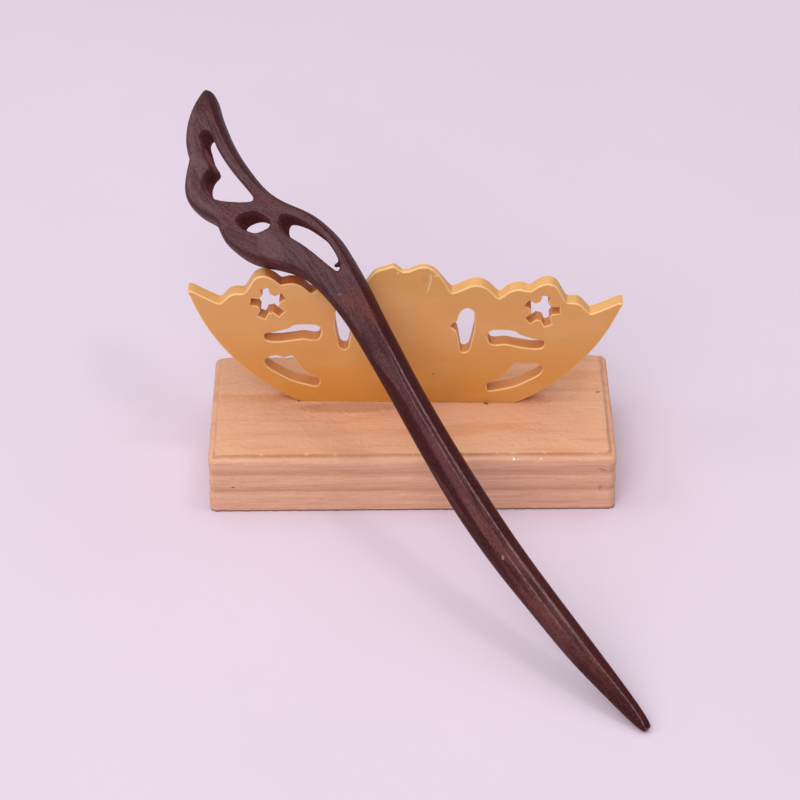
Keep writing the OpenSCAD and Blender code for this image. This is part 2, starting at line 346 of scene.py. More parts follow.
@dataclass
class Shader:
    """Builds one procedural material, node by node."""

    name: str
    roughness: float
    specular: float = 0.5
    ior: float = 1.5

    # Fineness and detail of the pattern that makes the rims of marks ragged
    RAGGED = (2.2, 2)
    # Where a mark fades, as its ragged distance from the middle in shares of its half size
    FADING = (1.2, 1.6)

    def __post_init__(self) -> None:
        """Makes the empty material."""
        self.material = bpy.data.materials.new(self.name)
        self.material.use_nodes = True
        self.nodes = self.material.node_tree.nodes
        self.links = self.material.node_tree.links
        self.surface = self.nodes["Principled BSDF"]
        self.surface.inputs["Roughness"].default_value = self.roughness
        self.surface.inputs["Specular IOR Level"].default_value = self.specular
        self.surface.inputs["IOR"].default_value = self.ior

    def node(self, kind: str, links: dict[str | int, Socket], **values: object) -> bpy.types.Node:
        """Adds a node.

        Args:
            kind: The node's type, without its ShaderNode prefix.
            links: The sockets that feed its inputs, by the input's name or number.
            **values: Properties of the node.

        Returns:
            The node.
        """
        node = self.nodes.new("ShaderNode" + kind)
        for name, value in values.items():
            setattr(node, name, value)
        for name, socket in links.items():
            self.links.new(socket, node.inputs[name])
        return node

    def own_frame(self, place: Matrix) -> Socket:
        """Gives coordinates in millimetres in the piece's own frame.

        Args:
            place: The place of that frame in the row's frame, in millimetres.

        Returns:
            The socket with the coordinates.
        """
        at, turn, _ = place.decompose()
        mapping = self.node("Mapping", {}, vector_type="TEXTURE")
        mapping.inputs["Location"].default_value = at * MM
        mapping.inputs["Rotation"].default_value = turn.to_euler()
        mapping.inputs["Scale"].default_value = (MM, MM, MM)
        self.links.new(self.node("TexCoord", {}).outputs["Object"], mapping.inputs["Vector"])
        return mapping.outputs["Vector"]

    def noise(
        self,
        coords: Socket,
        scale: float,
        detail: float,
        swirl: float = 0.0,
        stretch: Place | None = None,
    ) -> Socket:
        """Adds a cloudy pattern.

        Args:
            coords: The coordinates it lies in.
            scale: Its fineness.
            detail: Its number of finer layers.
            swirl: How much it swirls.
            stretch: A factor for each coordinate; below 1 draws the pattern out.

        Returns:
            The socket with its value.
        """
        if stretch is not None:
            coords = self.stretched(coords, stretch)
        node = self.node("TexNoise", {"Vector": coords})
        node.inputs["Scale"].default_value = scale
        node.inputs["Detail"].default_value = detail
        node.inputs["Distortion"].default_value = swirl
        return node.outputs["Fac"]

    def stretched(self, coords: Socket, stretch: Place) -> Socket:
        """Multiplies each coordinate by a factor.

        Args:
            coords: The coordinates.
            stretch: The factors.

        Returns:
            The socket with the new coordinates.
        """
        mapping = self.node("Mapping", {"Vector": coords}, vector_type="POINT")
        mapping.inputs["Scale"].default_value = stretch
        return mapping.outputs["Vector"]

    def ramp(self, value: Socket, stops: Sequence[tuple[float, Colour]]) -> Socket:
        """Turns a value into a colour.

        Args:
            value: The value.
            stops: Places from 0 to 1, each with its colour.

        Returns:
            The socket with the colour.
        """
        node = self.node("ValToRGB", {"Fac": value})
        elements = node.color_ramp.elements
        for element, (place, colour) in zip(elements, (stops[0], stops[-1])):
            element.position = place
            element.color = (*colour, 1)
        for place, colour in stops[1:-1]:
            elements.new(place).color = (*colour, 1)
        return node.outputs["Color"]

    def between(
        self, value: Socket, low: float, high: float, to_low: float = 0.0, to_high: float = 1.0
    ) -> Socket:
        """Rescales a value with soft ends.

        Args:
            value: The value.
            low: The value that becomes to_low.
            high: The value that becomes to_high.
            to_low: The result at and below low.
            to_high: The result at and above high.

        Returns:
            The socket with the result.
        """
        node = self.node("MapRange", {"Value": value}, interpolation_type="SMOOTHSTEP")
        bounds = {"From Min": low, "From Max": high, "To Min": to_low, "To Max": to_high}
        for name, number in bounds.items():
            node.inputs[name].default_value = number
        return node.outputs["Result"]

    def maths(self, kind: str, value: Socket, *others: Socket | float) -> Socket:
        """Combines a value with others, one after the other.

        Args:
            kind: The operation's name.
            value: The first value.
            *others: The others, sockets or numbers.

        Returns:
            The socket with the result.
        """
        for other in others:
            node = self.node("Math", {0: value}, operation=kind)
            if isinstance(other, Socket):
                self.links.new(other, node.inputs[1])
            else:
                node.inputs[1].default_value = other
            value = node.outputs["Value"]
        return value

    def times(self, value: Socket, *others: Socket | float) -> Socket:
        """Multiplies a value by others."""
        return self.maths("MULTIPLY", value, *others)

    def size(self, value: Socket) -> Socket:
        """Gives a value without its sign."""
        return self.node("Math", {0: value}, operation="ABSOLUTE").outputs["Value"]

    def length(self, vector: Socket) -> Socket:
        """Gives the length of a vector."""
        return self.node("VectorMath", {0: vector}, operation="LENGTH").outputs["Value"]

    def mix(self, share: Socket | float, low: Socket | Colour, high: Socket | Colour) -> Socket:
        """Lays one colour over another.

        Args:
            share: How much of the second colour shows.
            low: The first colour.
            high: The second colour.

        Returns:
            The socket with the colour.
        """
        node = self.node("Mix", {}, data_type="RGBA")
        for number, value in zip(MIX_INPUTS, (share, low, high)):
            if isinstance(value, Socket):
                self.links.new(value, node.inputs[number])
            else:
                fixed = value if isinstance(value, float) else (*value, 1)
                node.inputs[number].default_value = fixed
        return node.outputs[MIX_OUTPUT]

    def axis(self, coords: Socket, axis: Axis) -> Socket:
        """Gives one of the coordinates."""
        return self.node("SeparateXYZ", {"Vector": coords}).outputs[axis.value]

    def chart(self, name: str, kind: str = "Fac") -> Socket:
        """Reads what a piece charts at each of its points."""
        return self.node("Attribute", {}, attribute_name=name).outputs[kind]

    def facing(self, direction: Vector) -> Socket:
        """Finds how squarely the surface lies to a direction.

        Args:
            direction: The direction in the row's frame, of length 1.

        Returns:
            The socket with a value from 0, edge on, to 1, square to it.
        """
        normal = self.node("TexCoord", {}).outputs["Normal"]
        node = self.node("VectorMath", {0: normal}, operation="DOT_PRODUCT")
        node.inputs[1].default_value = direction
        return self.size(node.outputs["Value"])

    def band(self, value: Socket, middle: float, half: float) -> Socket:
        """Marks a soft band of a value.

        Args:
            value: The value.
            middle: The value at the band's middle.
            half: How far the band reaches to each side.

        Returns:
            The socket with a value from 0, outside, to 1, in the middle.
        """
        return self.between(self.size(self.maths("SUBTRACT", value, middle)), 0, half, 1, 0)

    def marked(self, coords: Socket, colour: Socket, marks: Sequence[Mark]) -> Socket:
        """Lays stains and scratches with ragged rims over a colour.

        Args:
            coords: The piece's own coordinates.
            colour: The colour below.
            marks: The marks.

        Returns:
            The socket with the colour.
        """
        for mark in marks:
            mapping = self.node("Mapping", {"Vector": coords}, vector_type="TEXTURE")
            mapping.inputs["Location"].default_value = mark.at
            mapping.inputs["Rotation"].default_value = (0, math.radians(mark.turn), 0)
            mapping.inputs["Scale"].default_value = mark.half
            away = self.length(mapping.outputs["Vector"])
            ragged = self.maths("ADD", away, self.noise(coords, *self.RAGGED))
            share = self.between(ragged, *self.FADING, mark.strength, 0)
            colour = self.mix(share, colour, mark.colour)
        return colour

    def finish(
        self,
        colour: Socket,
        height: Socket | None = None,
        depth: float = 0.0,
        roughness: Socket | None = None,
    ) -> bpy.types.Material:
        """Connects the finish to the surface.

        Args:
            colour: The colour.
            height: The relief, from 0 to 1.
            depth: The depth of the relief, in millimetres.
            roughness: The roughness, if it varies.

        Returns:
            The material.
        """
        self.links.new(colour, self.surface.inputs["Base Color"])
        if roughness is not None:
            self.links.new(roughness, self.surface.inputs["Roughness"])
        if height is not None:
            bump = self.node("Bump", {"Height": height})
            bump.inputs["Distance"].default_value = depth * MM
            self.links.new(bump.outputs["Normal"], self.surface.inputs["Normal"])
        return self.material


@dataclass(frozen=True)
class DarkWood:
    """Oiled dark wood, purple-brown with redder patches and fine streaks along the grain."""

    dark: Colour = (0.038, 0.009, 0.010)
    middle: Colour = (0.086, 0.027, 0.029)
    streak: Colour = (0.112, 0.036, 0.036)
    tip: Colour = (0.040, 0.004, 0.004)
    red: Colour = (0.138, 0.040, 0.035)
    grey: Colour = (0.078, 0.034, 0.041)
    # bevel and low_bevel: painted shade where the surface turns away from the face, and along the
    # left flank near the neck
    bevel: Colour = (0.044, 0.005, 0.005)
    low_bevel: Colour = (0.064, 0.009, 0.008)
    # cut: painted shade, for the dark lines in the crease beside the ridge, along the head's right
    # edge and round the piercings
    cut: Colour = (0.056, 0.006, 0.006)
    side: Colour = (0.100, 0.020, 0.021)
    wall: Colour = (0.200, 0.064, 0.069)
    carved: Colour = (0.120, 0.066, 0.078)
    # worn: pale colour for the painted highlights on the ridges and on the head's left rim, and for
    # the pale worn speckle
    worn: Colour = (0.270, 0.160, 0.172)
    grain_depth: float = 0.12

    # The patterns, in the order streaks, fine, mottle, patches, clouds and bands: factor along
    # the grain, fineness, detail, swirl
    PATTERNS = (
        (0.06, 1.7, 5, 0.3), (0.2, 5.5, 4, 0.0), (0.45, 3.4, 3, 0.0), (0.35, 0.32, 4, 0.6),
        (0.5, 0.25, 3, 0.0), (0.03, 0.75, 2, 0.0),
    )

    def build(self, place: Matrix, neck: float, marks: Sequence[Mark]) -> bpy.types.Material:
        """Builds the material. The piece charts `worked` at each point: how far it lies in from
        the right edge, how far along the stick, and how far in from the left edge. It also charts
        `pierced`, the distance from the nearest piercing.

        Args:
            place: The stick's own frame, in millimetres, its grain along Y.
            neck: How far along the stick the shaft ends.
            marks: Streaks and specks on the wood.

        Returns:
            The material.
        """
        shader = Shader("dark_wood", roughness=0.4, specular=0.4, ior=1.2)
        between, mix, times = shader.between, shader.mix, shader.times
        own = shader.own_frame(place)
        worked = shader.chart("worked", "Vector")
        inset, along, left_inset = (shader.axis(worked, axis) for axis in Axis)
        up = shader.axis(own, Axis.Z)
        flow = shader.node("CombineXYZ", {"X": inset, "Y": along, "Z": up}).outputs[0]
        streaks, fine, mottle, patches, clouds, bands = (
            shader.noise(flow, scale, detail, swirl, (1, factor, 1))
            for factor, scale, detail, swirl in self.PATTERNS
        )

        base = shader.ramp(streaks, [(0.41, self.dark), (0.5, self.middle), (0.64, self.streak)])
        base = mix(between(bands, 0.44, 0.6, 0, 0.6), base, self.dark)
        reddish = mix(between(patches, 0.44, 0.62, 0, 0.75), base, self.red)
        cloudy = shader.maths("ADD", between(clouds, 0.42, 0.62, 0, 0.45), 0.25)
        on_upper_shaft = between(along, 0.45 * neck, 0.8 * neck, 0.15, 1)
        greyed = mix(times(cloudy, on_upper_shaft), reddish, self.grey)
        tipped = mix(between(along, 6, 22, 0.92, 0), greyed, self.tip)
        on_head = between(along, neck, neck + 12)
        patchy = between(patches, 0.42, 0.58, 0.5, 0.34)
        streaky = between(streaks, 0.42, 0.6, 0.5, 1.3)
        face = mix(times(on_head, patchy, streaky), tipped, self.carved)

        # Painted shade: the left flank near the neck and every surface turned away from the face
        # are painted darker, low on the shaft in the redder low_bevel colour
        flank_end = between(along, neck - 22, neck, 3.05, 0.6)
        flank_shade = times(
            between(shader.maths("SUBTRACT", left_inset, flank_end), -0.3, 0.35, 1, 0),
            between(along, 48, 66, 0.25, 0.92),
            between(along, neck - 2, neck + 8, 1, 0),
        )
        bevel = mix(between(along, 40, 58), self.low_bevel, self.bevel)
        square = shader.facing(place.col[2].to_3d())
        sloped = mix(between(square, 0.66, 0.95, 0.85, 0), mix(flank_shade, face, self.bevel), bevel)
        sided = mix(between(square, 0.12, 0.5, 0.85, 0), sloped, self.side)
        sided = mix(times(on_head, 0.3), sided, face)

        pierced = shader.chart("pierced")
        on_wall = times(between(square, 0.15, 0.6, 1, 0), between(pierced, 0.3, 0.6, 1, 0))
        # Painted shade: darker round the rims of the piercings, in the cut colour
        hole_rim_shaded = mix(between(pierced, 0.12, 0.5, 0.7, 0), sided, self.cut)
        wall = mix(between(streaks, 0.4, 0.6, 0, 0.5), self.wall, self.side)
        walled = mix(on_wall, hole_rim_shaded, wall)
        plain = mix(times(between(inset, 0.35, 0.1), on_head), walled, face)
        # Painted sheen: a pale band along the head's left rim
        left_rim_sheen = times(shader.band(left_inset, 2.2, 1.3), between(along, neck + 36, neck + 46))
        plain = mix(times(left_rim_sheen, 0.22), plain, self.worn)

        stained = shader.marked(own, self.lines(shader, plain, inset, along, neck, fine), marks)
        speckled = mix(between(mottle, 0.5, 0.62, 0, 0.38), stained, self.dark)
        colour = mix(between(mottle, 0.46, 0.36, 0, 0.10), speckled, self.worn)
        relief = shader.maths("ADD", times(streaks, 0.4), mottle, times(fine, 0.5))
        roughness = shader.maths("MAXIMUM", between(fine, 0.3, 0.7, 0.36, 0.52), on_wall)
        return shader.finish(colour, relief, self.grain_depth, roughness)

    def lines(
        self,
        shader: Shader,
        colour: Socket,
        inset: Socket,
        along: Socket,
        neck: float,
        broken: Socket,
    ) -> Socket:
        """Draws the painted highlights on the ridges and the painted shade in the creases that run
        along the right edge.

        Args:
            shader: The shader.
            colour: The colour below.
            inset: How far in from the right edge.
            along: How far along the stick.
            neck: How far along the shaft ends.
            broken: A fine pattern that breaks up the painted highlights on the ridges.

        Returns:
            The socket with the colour.
        """
        between, band, times, maths = shader.between, shader.band, shader.times, shader.maths
        off = maths("SUBTRACT", inset, between(along, 2, 22, 1.15, 1.68))
        on_shaft = between(along, neck - 3, neck - 1, 1, 0)
        slim = maths("MAXIMUM", between(along, 42, 54, 0.62, 1), between(along, 16, 28, 1, 0.62))
        # Painted highlights: thin pale lines along the ridges of the shaft
        ridge_glint = times(
            band(times(off, slim), 0.0, 0.27),
            between(along, neck - 14, neck - 4, 1, 0.3),
            between(along, 20, 32, 0.65, 1),
        )
        second_off = maths("SUBTRACT", off, between(along, 84, neck + 2, 1.0, 0.2))
        second = times(band(second_off, 0.0, 0.24), between(along, 58, 70, 0, 0.5))
        third = times(band(inset, 3.2, 0.3), between(along, 24, 30), between(along, 44, 52, 0.7, 0))
        pale = maths("MAXIMUM", ridge_glint, second, third)
        pale = times(pale, on_shaft, between(broken, 0.38, 0.58, 0.25, 1))
        # Painted shade: a thin dark line in the crease beside the ridge, and one along the head's
        # right edge
        crease_off = maths("SUBTRACT", off, between(along, 58, 78, 0.85, 0.48))
        crease_shade = times(band(crease_off, 0.0, 0.3), on_shaft, between(along, 48, 58, 0.2, 0.8))
        furrow_off = maths("SUBTRACT", inset, between(along, neck + 24, neck + 48, 1.0, 0.55))
        furrow_shade = times(band(furrow_off, 0.0, 0.45), between(along, neck - 2, neck + 8), 0.85)
        # Lays the painted highlights over the colour
        colour = shader.mix(pale, colour, self.worn)
        return shader.mix(maths("MAXIMUM", crease_shade, furrow_shade), colour, self.cut)


@dataclass(frozen=True)
class TanPlate:
    """Smooth varnished plywood, orange-tan and deeper orange low down, with layers at its edge."""

    high: Colour = (0.755, 0.365, 0.115)
    low: Colour = (0.730, 0.305, 0.058)
    pale: Colour = (0.820, 0.450, 0.190)
    edge: Colour = (0.840, 0.450, 0.165)
    # rim: painted highlight on the rounded lips next to the front face
    rim: Colour = (0.970, 0.600, 0.270)
    line: Colour = (0.560, 0.230, 0.060)
    sawn: Colour = (0.790, 0.350, 0.115)
    layers: int = 4
    grain_depth: float = 0.03

    def build(
        self,
        place: Matrix,
        thick: float,
        height: float,
        marks: Sequence[Mark],
        painted_shadows: Sequence[Mark],
    ) -> bpy.types.Material:
        """Builds the material. The piece charts `sawn`, which is 1 on the walls of its cut-outs.

        Args:
            place: The plate's own frame, in millimetres, Y back from its front face.
            thick: The plate's thickness.
            height: How far the plate rises out of the block.
            marks: Scratches and smudges on its front.
            painted_shadows: Painted shadow, dark orange-brown, on its top edge under the stick.

        Returns:
            The material.
        """
        shader = Shader("tan_plate", roughness=0.45, specular=0.4)
        between, mix = shader.between, shader.mix
        own = shader.own_frame(place)
        clouds = shader.noise(own, 0.13, 3, stretch=(0.5, 1, 1))
        grain = shader.noise(own, 1.3, 4, 0.3, (0.08, 1, 1))
        face = mix(between(shader.axis(own, Axis.Z), 0, height * 0.7), self.low, self.high)
        face = mix(between(clouds, 0.45, 0.68, 0, 0.3), face, self.pale)
        face = mix(between(grain, 0.45, 0.7, 0, 0.07), face, self.line)
        face = shader.marked(own, face, marks)
        layered = shader.maths("PINGPONG", shader.axis(own, Axis.Y), thick / (2 * self.layers))
        lines = between(layered, 0.02, 0.17, 0.55, 0.0)
        side = mix(shader.chart("sawn"), mix(lines, self.edge, self.line), self.sawn)
        # Painted shadow on the top edge under the stick
        side = shader.marked(own, side, painted_shadows)
        # Painted highlight: the rounded lips next to the front face take the pale rim colour
        square = shader.facing(place.col[1].to_3d())
        lip = mix(between(square, 0.88, 0.99, 0.95, 0), face, self.rim)
        colour = mix(between(square, 0.15, 0.4, 1, 0), lip, side)
        return shader.finish(colour, shader.maths("SUBTRACT", grain, lines), self.grain_depth)


@dataclass(frozen=True)
class PaleWood:
    """Pale lightly sanded wood, its wavy grain level along the block."""

    light: Colour = (0.790, 0.420, 0.262)
    dark: Colour = (0.730, 0.345, 0.190)
    streak: Colour = (0.480, 0.190, 0.095)
    side: Colour = (0.830, 0.470, 0.325)
    foot: Colour = (0.160, 0.050, 0.035)
    grain_depth: float = 0.12
    # Where the block's middle lay from the tree's heart, and half of the rings' spacing
    heart: Place = (0.0, 9.0, 21.0)
    half_ring: float = 1.1

    # The patterns, in the order swell, grain, pores, lines and breaks: stretch, fineness, detail,
    # swirl
    PATTERNS = (
        ((0.03, 0.18, 0.3), 1.2, 3, 0.8),
        ((0.05, 1, 1.6), 2.0, 5, 0.3),
        ((0.16, 1, 1), 5.0, 4, 0.0),
        ((0.05, 1, 2.2), 1.5, 4, 0.7),
        ((0.06, 0.06, 1), 1.0, 3, 0.0),
    )

    def build(self, place: Matrix, marks: Sequence[Mark]) -> bpy.types.Material:
        """Builds the material. The piece charts the painted shade in its grooves and under its
        slab, from 0, on its open faces, to 1, deep in its mouldings.

        Args:
            place: The block's own frame, in millimetres, its grain along X.
            marks: Specks and stains.

        Returns:
            The material.
        """
        shader = Shader("pale_wood", roughness=0.6, specular=0.3)
        between, mix, times = shader.between, shader.mix, shader.times
        own = shader.own_frame(place)
        swell, grain, pores, lines, breaks = (
            shader.noise(own, scale, detail, swirl, stretch)
            for stretch, scale, detail, swirl in self.PATTERNS
        )
        grit = shader.noise(own, 4.0, 4)
        top = shader.facing(Vector((0, 0, 1)))
        wavy = shader.ramp(swell, [(0.35, self.dark), (0.5, self.light)])
        plain = mix(between(top, 0.3, 0.9, 0.85, 0), wavy, self.side)
        streaked = mix(between(grain, 0.48, 0.72, 0, 0.4), plain, self.dark)
        pored = mix(between(pores, 0.56, 0.75, 0, 0.3), streaked, self.streak)
        gritty = mix(between(grit, 0.6, 0.8, 0, 0.3), pored, self.light)
        lined = mix(between(lines, 0.46, 0.62, 0, 0.28), gritty, self.streak)
        sided = mix(between(top, 0.3, 0.9), lined, gritty)
        # Painted shade in the grooves and under the slab's step, broken up a little
        low = times(shader.chart("painted_groove_shade"), between(breaks, 0.35, 0.6, 0.6, 1), 0.7)
        groove_shaded = mix(low, sided, self.streak)
        on_end = between(shader.facing(Vector((1, 0, 0))), 0.6, 0.9, 0, 0.8)
        ended = mix(on_end, groove_shaded, self.rings(shader, own))
        on_foot = between(shader.axis(own, Axis.Z), 0.2, 0.6, 0.85, 0)
        colour = shader.marked(own, mix(on_foot, ended, self.foot), marks)
        height = shader.maths("ADD", grain, times(pores, 0.6), times(grit, 0.5))
        return shader.finish(colour, height, self.grain_depth)

    def rings(self, shader: Shader, own: Socket) -> Socket:
        """Draws the year rings that show on the two sawn ends.

        Args:
            shader: The shader.
            own: The block's own coordinates.

        Returns:
            The socket with the colour.
        """
        node = shader.node("VectorMath", {0: shader.stretched(own, (0, 1, 1))}, operation="ADD")
        node.inputs[1].default_value = self.heart
        wavy = shader.times(shader.noise(own, 0.12, 3), 3.0)
        away = shader.maths("ADD", shader.length(node.outputs["Vector"]), wavy)
        ring = shader.maths("PINGPONG", away, self.half_ring)
        mottled = shader.between(shader.noise(own, 3.0, 3), 0.45, 0.7, 0, 0.2)
        plain = shader.mix(mottled, self.side, self.dark)
        return shader.mix(shader.between(ring, 0.55, 1.1, 0, 0.4), plain, self.streak)


@dataclass(frozen=True)
class PaleGround:
    """The plain pale floor."""

    colour: Colour = (0.76, 0.64, 0.76)
    unevenness: float = 0.015

    def build(self) -> bpy.types.Material:
        """Builds the material."""
        shader = Shader("pale_ground", roughness=0.7)
        cloud = shader.noise(shader.own_frame(Matrix.Identity(4)), 0.02, 2)
        darker = tuple(channel * (1 - self.unevenness) for channel in self.colour)
        return shader.finish(shader.ramp(cloud, [(0.3, darker), (0.7, self.colour)]))


class Section(NamedTuple):
    """A section across the stick: how far along, its two edges, its thickness and the sizes of its
    two worked edges."""

    along: float
    left: float
    right: float
    thick: float
    left_rim: float
    right_rim: float


class RimPoint(NamedTuple):
    """A point of a worked edge: how far in from the edge, and how high, as a share of half the
    thickness."""

    inset: float
    up: float


@dataclass
class HairStick:
    """The stick: a bowed shaft with a flat facet on its face, and a pierced wing-shaped head."""

    length: float = 181.5
    thick: float = 7.0
    shaft_w: float = 7.7
    bow: float = 4.0
    head_l: float = 71.7
    head_reach: float = 18.0
    head_crest: float = 5.4
    tip: Place = (46.723, -98.619, 0.987)
    heading: float = 123.4
    pitch: float = 23.122
    face_turn: float = -36.0
    steps: int = 3
    fine_steps: int = 12
    head_rim: float = 0.5
    voxel: float = 0.28
    smoothing: int = 4

    # The shaft from the tip to the neck: along (share of the shaft's length), line (offset of
    # its middle to the left, share of bow), width (share of shaft_w), thick (share of thick)
    SHAFT = (
        (0.000, 0.05, 0.24, 0.24),
        (0.008, 0.08, 0.31, 0.33),
        (0.030, 0.13, 0.43, 0.40),
        (0.095, 0.31, 0.60, 0.52),
        (0.200, 0.59, 0.79, 0.68),
        (0.320, 0.80, 0.87, 0.79),
        (0.440, 0.97, 0.95, 0.86),
        (0.570, 0.97, 1.00, 0.91),
        (0.700, 0.79, 0.96, 0.94),
        (0.830, 0.51, 0.93, 0.97),
        (0.920, 0.28, 0.97, 0.99),
        (1.000, 0.09, 1.02, 1.00),
    )
    # The head beyond the neck: along (share of head_l), left (share of head_reach), right
    # (share of head_crest), thick (share of thick)
    HEAD = (
        (0.083, 0.236, 0.81, 1.00),
        (0.166, 0.261, 0.92, 1.00),
        (0.234, 0.307, 0.98, 1.00),
        (0.290, 0.380, 1.00, 1.00),
        (0.345, 0.522, 0.91, 1.00),
        (0.400, 0.707, 0.74, 1.00),
        (0.441, 0.804, 0.52, 1.00),
        (0.483, 0.860, 0.22, 1.00),
        (0.524, 0.892, -0.06, 1.00),
        (0.562, 0.876, -0.25, 1.00),
        (0.588, 0.862, -0.34, 1.00),
        (0.615, 0.893, -0.40, 1.00),
        (0.657, 0.967, -0.45, 1.00),
        (0.703, 1.000, -0.47, 1.00),
        (0.745, 0.967, -0.47, 1.00),
        (0.786, 0.848, -0.43, 1.00),
        (0.824, 0.702, -0.37, 1.00),
        (0.847, 0.674, -0.31, 1.00),
        (0.883, 0.614, -0.22, 1.00),
        (0.916, 0.522, -0.11, 1.00),
        (0.949, 0.391, 0.03, 0.97),
        (0.970, 0.278, 0.08, 0.90),
        (0.986, 0.165, 0.10, 0.78),
        (0.996, 0.085, 0.06, 0.60),
        (1.000, 0.050, 0.02, 0.40),
    )
    # The piercings: along (share of head_l), left (share of head_reach)
    WING_HOLE = (
        (0.866, 0.304), (0.862, 0.390), (0.832, 0.435), (0.794, 0.478), (0.753, 0.495),
        (0.743, 0.620), (0.721, 0.710), (0.692, 0.728), (0.658, 0.696), (0.633, 0.630),
        (0.600, 0.500), (0.571, 0.360), (0.569, 0.281), (0.618, 0.288), (0.677, 0.310),
        (0.738, 0.315), (0.788, 0.304), (0.840, 0.270),
    )
    OVAL_HOLE = (
        (0.546, 0.605), (0.545, 0.489), (0.530, 0.380), (0.500, 0.310), (0.465, 0.284),
        (0.456, 0.345), (0.466, 0.490), (0.487, 0.560), (0.518, 0.612),
    )
    LEAF_HOLE = (
        (0.447, 0.190), (0.461, 0.125), (0.450, 0.060), (0.410, -0.038), (0.345, -0.125),
        (0.292, -0.162), (0.241, -0.158), (0.203, -0.125), (0.193, -0.055), (0.244, 0.005),
        (0.323, 0.087), (0.393, 0.190), (0.424, 0.212),
    )
    # Left behind in the leaf hole: across, along, half length, half width (mm), turn (degrees).
    # All lie at one height (share of thick) and have one half thickness (mm)
    BURR_UP = 0.3
    BURR_HALF = 0.9
    BURRS = (
        (2.0, 125.3, 1.15, 0.42, -10.0),
        (2.4, 124.3, 0.60, 0.45, 0.0),
        (3.05, 126.9, 0.55, 0.40, 70.0),
        (3.55, 129.2, 0.45, 0.35, 60.0),
    )
    # The worked edges, from the face round to the back
    RIGHT_RIM = (
        RimPoint(2.6, 1.0), RimPoint(1.95, 0.98), RimPoint(1.65, 0.92), RimPoint(1.05, 0.64),
        RimPoint(0.42, 0.32), RimPoint(0.08, 0.05), RimPoint(0.0, -0.25), RimPoint(0.35, -0.65),
        RimPoint(1.3, -0.93), RimPoint(2.6, -1.0),
    )
    LEFT_RIM = (
        RimPoint(2.8, 1.0), RimPoint(2.25, 0.96), RimPoint(1.5, 0.82), RimPoint(0.8, 0.60),
        RimPoint(0.3, 0.35), RimPoint(0.05, 0.06), RimPoint(0.0, -0.30), RimPoint(0.1, -0.72),
        RimPoint(0.65, -0.96), RimPoint(2.6, -1.0),
    )
    # The most of a narrow section's width that each worked edge may take
    RIGHT_ROOM = 0.43
    LEFT_ROOM = 0.38
    # The worked edges narrow towards the head from here (share of the shaft's length), over this
    # run (share of head_l)
    NARROW_FROM = 0.9
    NARROW_RUN = 0.4
    # How high the middles of the face's marks lie (share of thick)
    MARKS_UP = 0.46
    # Lays a sheet of the XZ plane down in the XY plane
    LAID_DOWN = Matrix(((1, 0, 0, 0), (0, 0, 1, 0), (0, -1, 0, 0), (0, 0, 0, 1)))

    @property
    def place(self) -> Matrix:
        """The stick's own frame, tip at its origin, Y towards the head and Z out of its face."""
        turns = (
            Matrix.Rotation(math.radians(self.heading - 90), 4, "Z")
            @ Matrix.Rotation(math.radians(self.pitch), 4, "X")
            @ Matrix.Rotation(math.radians(self.face_turn), 4, "Y")
        )
        return Matrix.Translation(self.tip) @ turns

    @property
    def shaft_l(self) -> float:
        """Length of the shaft, from the tip to the neck."""
        return self.length - self.head_l

    def sections(self) -> list[Section]:
        """Works out the sections from the tip to the end of the head.

        Returns:
            The sections, smoothly divided.
        """
        rows = []
        for along, line, width, thick in self.SHAFT:
            middle, half = -line * self.bow, width * self.shaft_w / 2
            rows.append((along * self.shaft_l, middle - half, middle + half, thick * self.thick))
        for along, left, right, thick in self.HEAD:
            edges = -left * self.head_reach, right * self.head_crest
            rows.append((self.shaft_l + along * self.head_l, *edges, thick * self.thick))
        ends = open_curve([row[:3] for row in rows], self.steps)
        thicks = open_curve([(row[0], row[3]) for row in rows], self.steps)
        return [
            Section(end.x, end.y, end.z, thick.y, *self.rim_sizes(end.x, end.z - end.y))
            for end, thick in zip(ends, thicks)
        ]

    def rim_sizes(self, along: float, width: float) -> tuple[float, float]:
        """Finds how large the worked edges are, narrower on the head and towards the tip.

        Args:
            along: How far along the stick.
            width: The stick's width there.

        Returns:
            Factors for the left and the right edge's insets.
        """
        beyond = along - self.NARROW_FROM * self.shaft_l
        onto_head = min(max(beyond / (self.NARROW_RUN * self.head_l), 0), 1)
        factor = 1 + (self.head_rim - 1) * onto_head
        return (
            min(factor, self.LEFT_ROOM * width / self.LEFT_RIM[0].inset),
            min(factor, self.RIGHT_ROOM * width / self.RIGHT_RIM[0].inset),
        )

    def ring(self, section: Section) -> list[Vector]:
        """Lays out the points round a section, the right edge first.

        Args:
            section: The section.

        Returns:
            The points, in the stick's own frame.
        """
        edges = (
            (self.RIGHT_RIM, section.right, -section.right_rim),
            (self.LEFT_RIM[::-1], section.left, section.left_rim),
        )
        return [
            Vector((edge + point.inset * rim, section.along, point.up * section.thick / 2))
            for points, edge, rim in edges
            for point in points
        ]

    def sweep(self) -> bpy.types.Object:
        """Draws the stick out of a circle at its tip, section by section.

        Returns:
            The solid stick without its piercings, in object mode.
        """
        sections = self.sections()
        first = self.ring(sections[0])
        deselect_all()
        bpy.ops.mesh.primitive_circle_add(vertices=len(first), fill_type="NOTHING")
        stick = bpy.context.object
        stick.name = "hair_stick_carved"
        bpy.ops.object.mode_set(mode="EDIT")
        mesh = bmesh.from_edit_mesh(stick.data)
        for vert, point in zip(mesh.verts, first, strict=True):
            vert.co = point
        bmesh.update_edit_mesh(stick.data)
        bpy.ops.mesh.select_all(action="SELECT")
        for before, after in zip(sections, sections[1:]):
            self.draw_out(stick, before, after)
        bpy.ops.mesh.select_all(action="SELECT")
        bpy.ops.mesh.fill_holes(sides=0)
        close_up()
        apply_modifier(stick, "SUBSURF", levels=2, render_levels=2)
        return stick

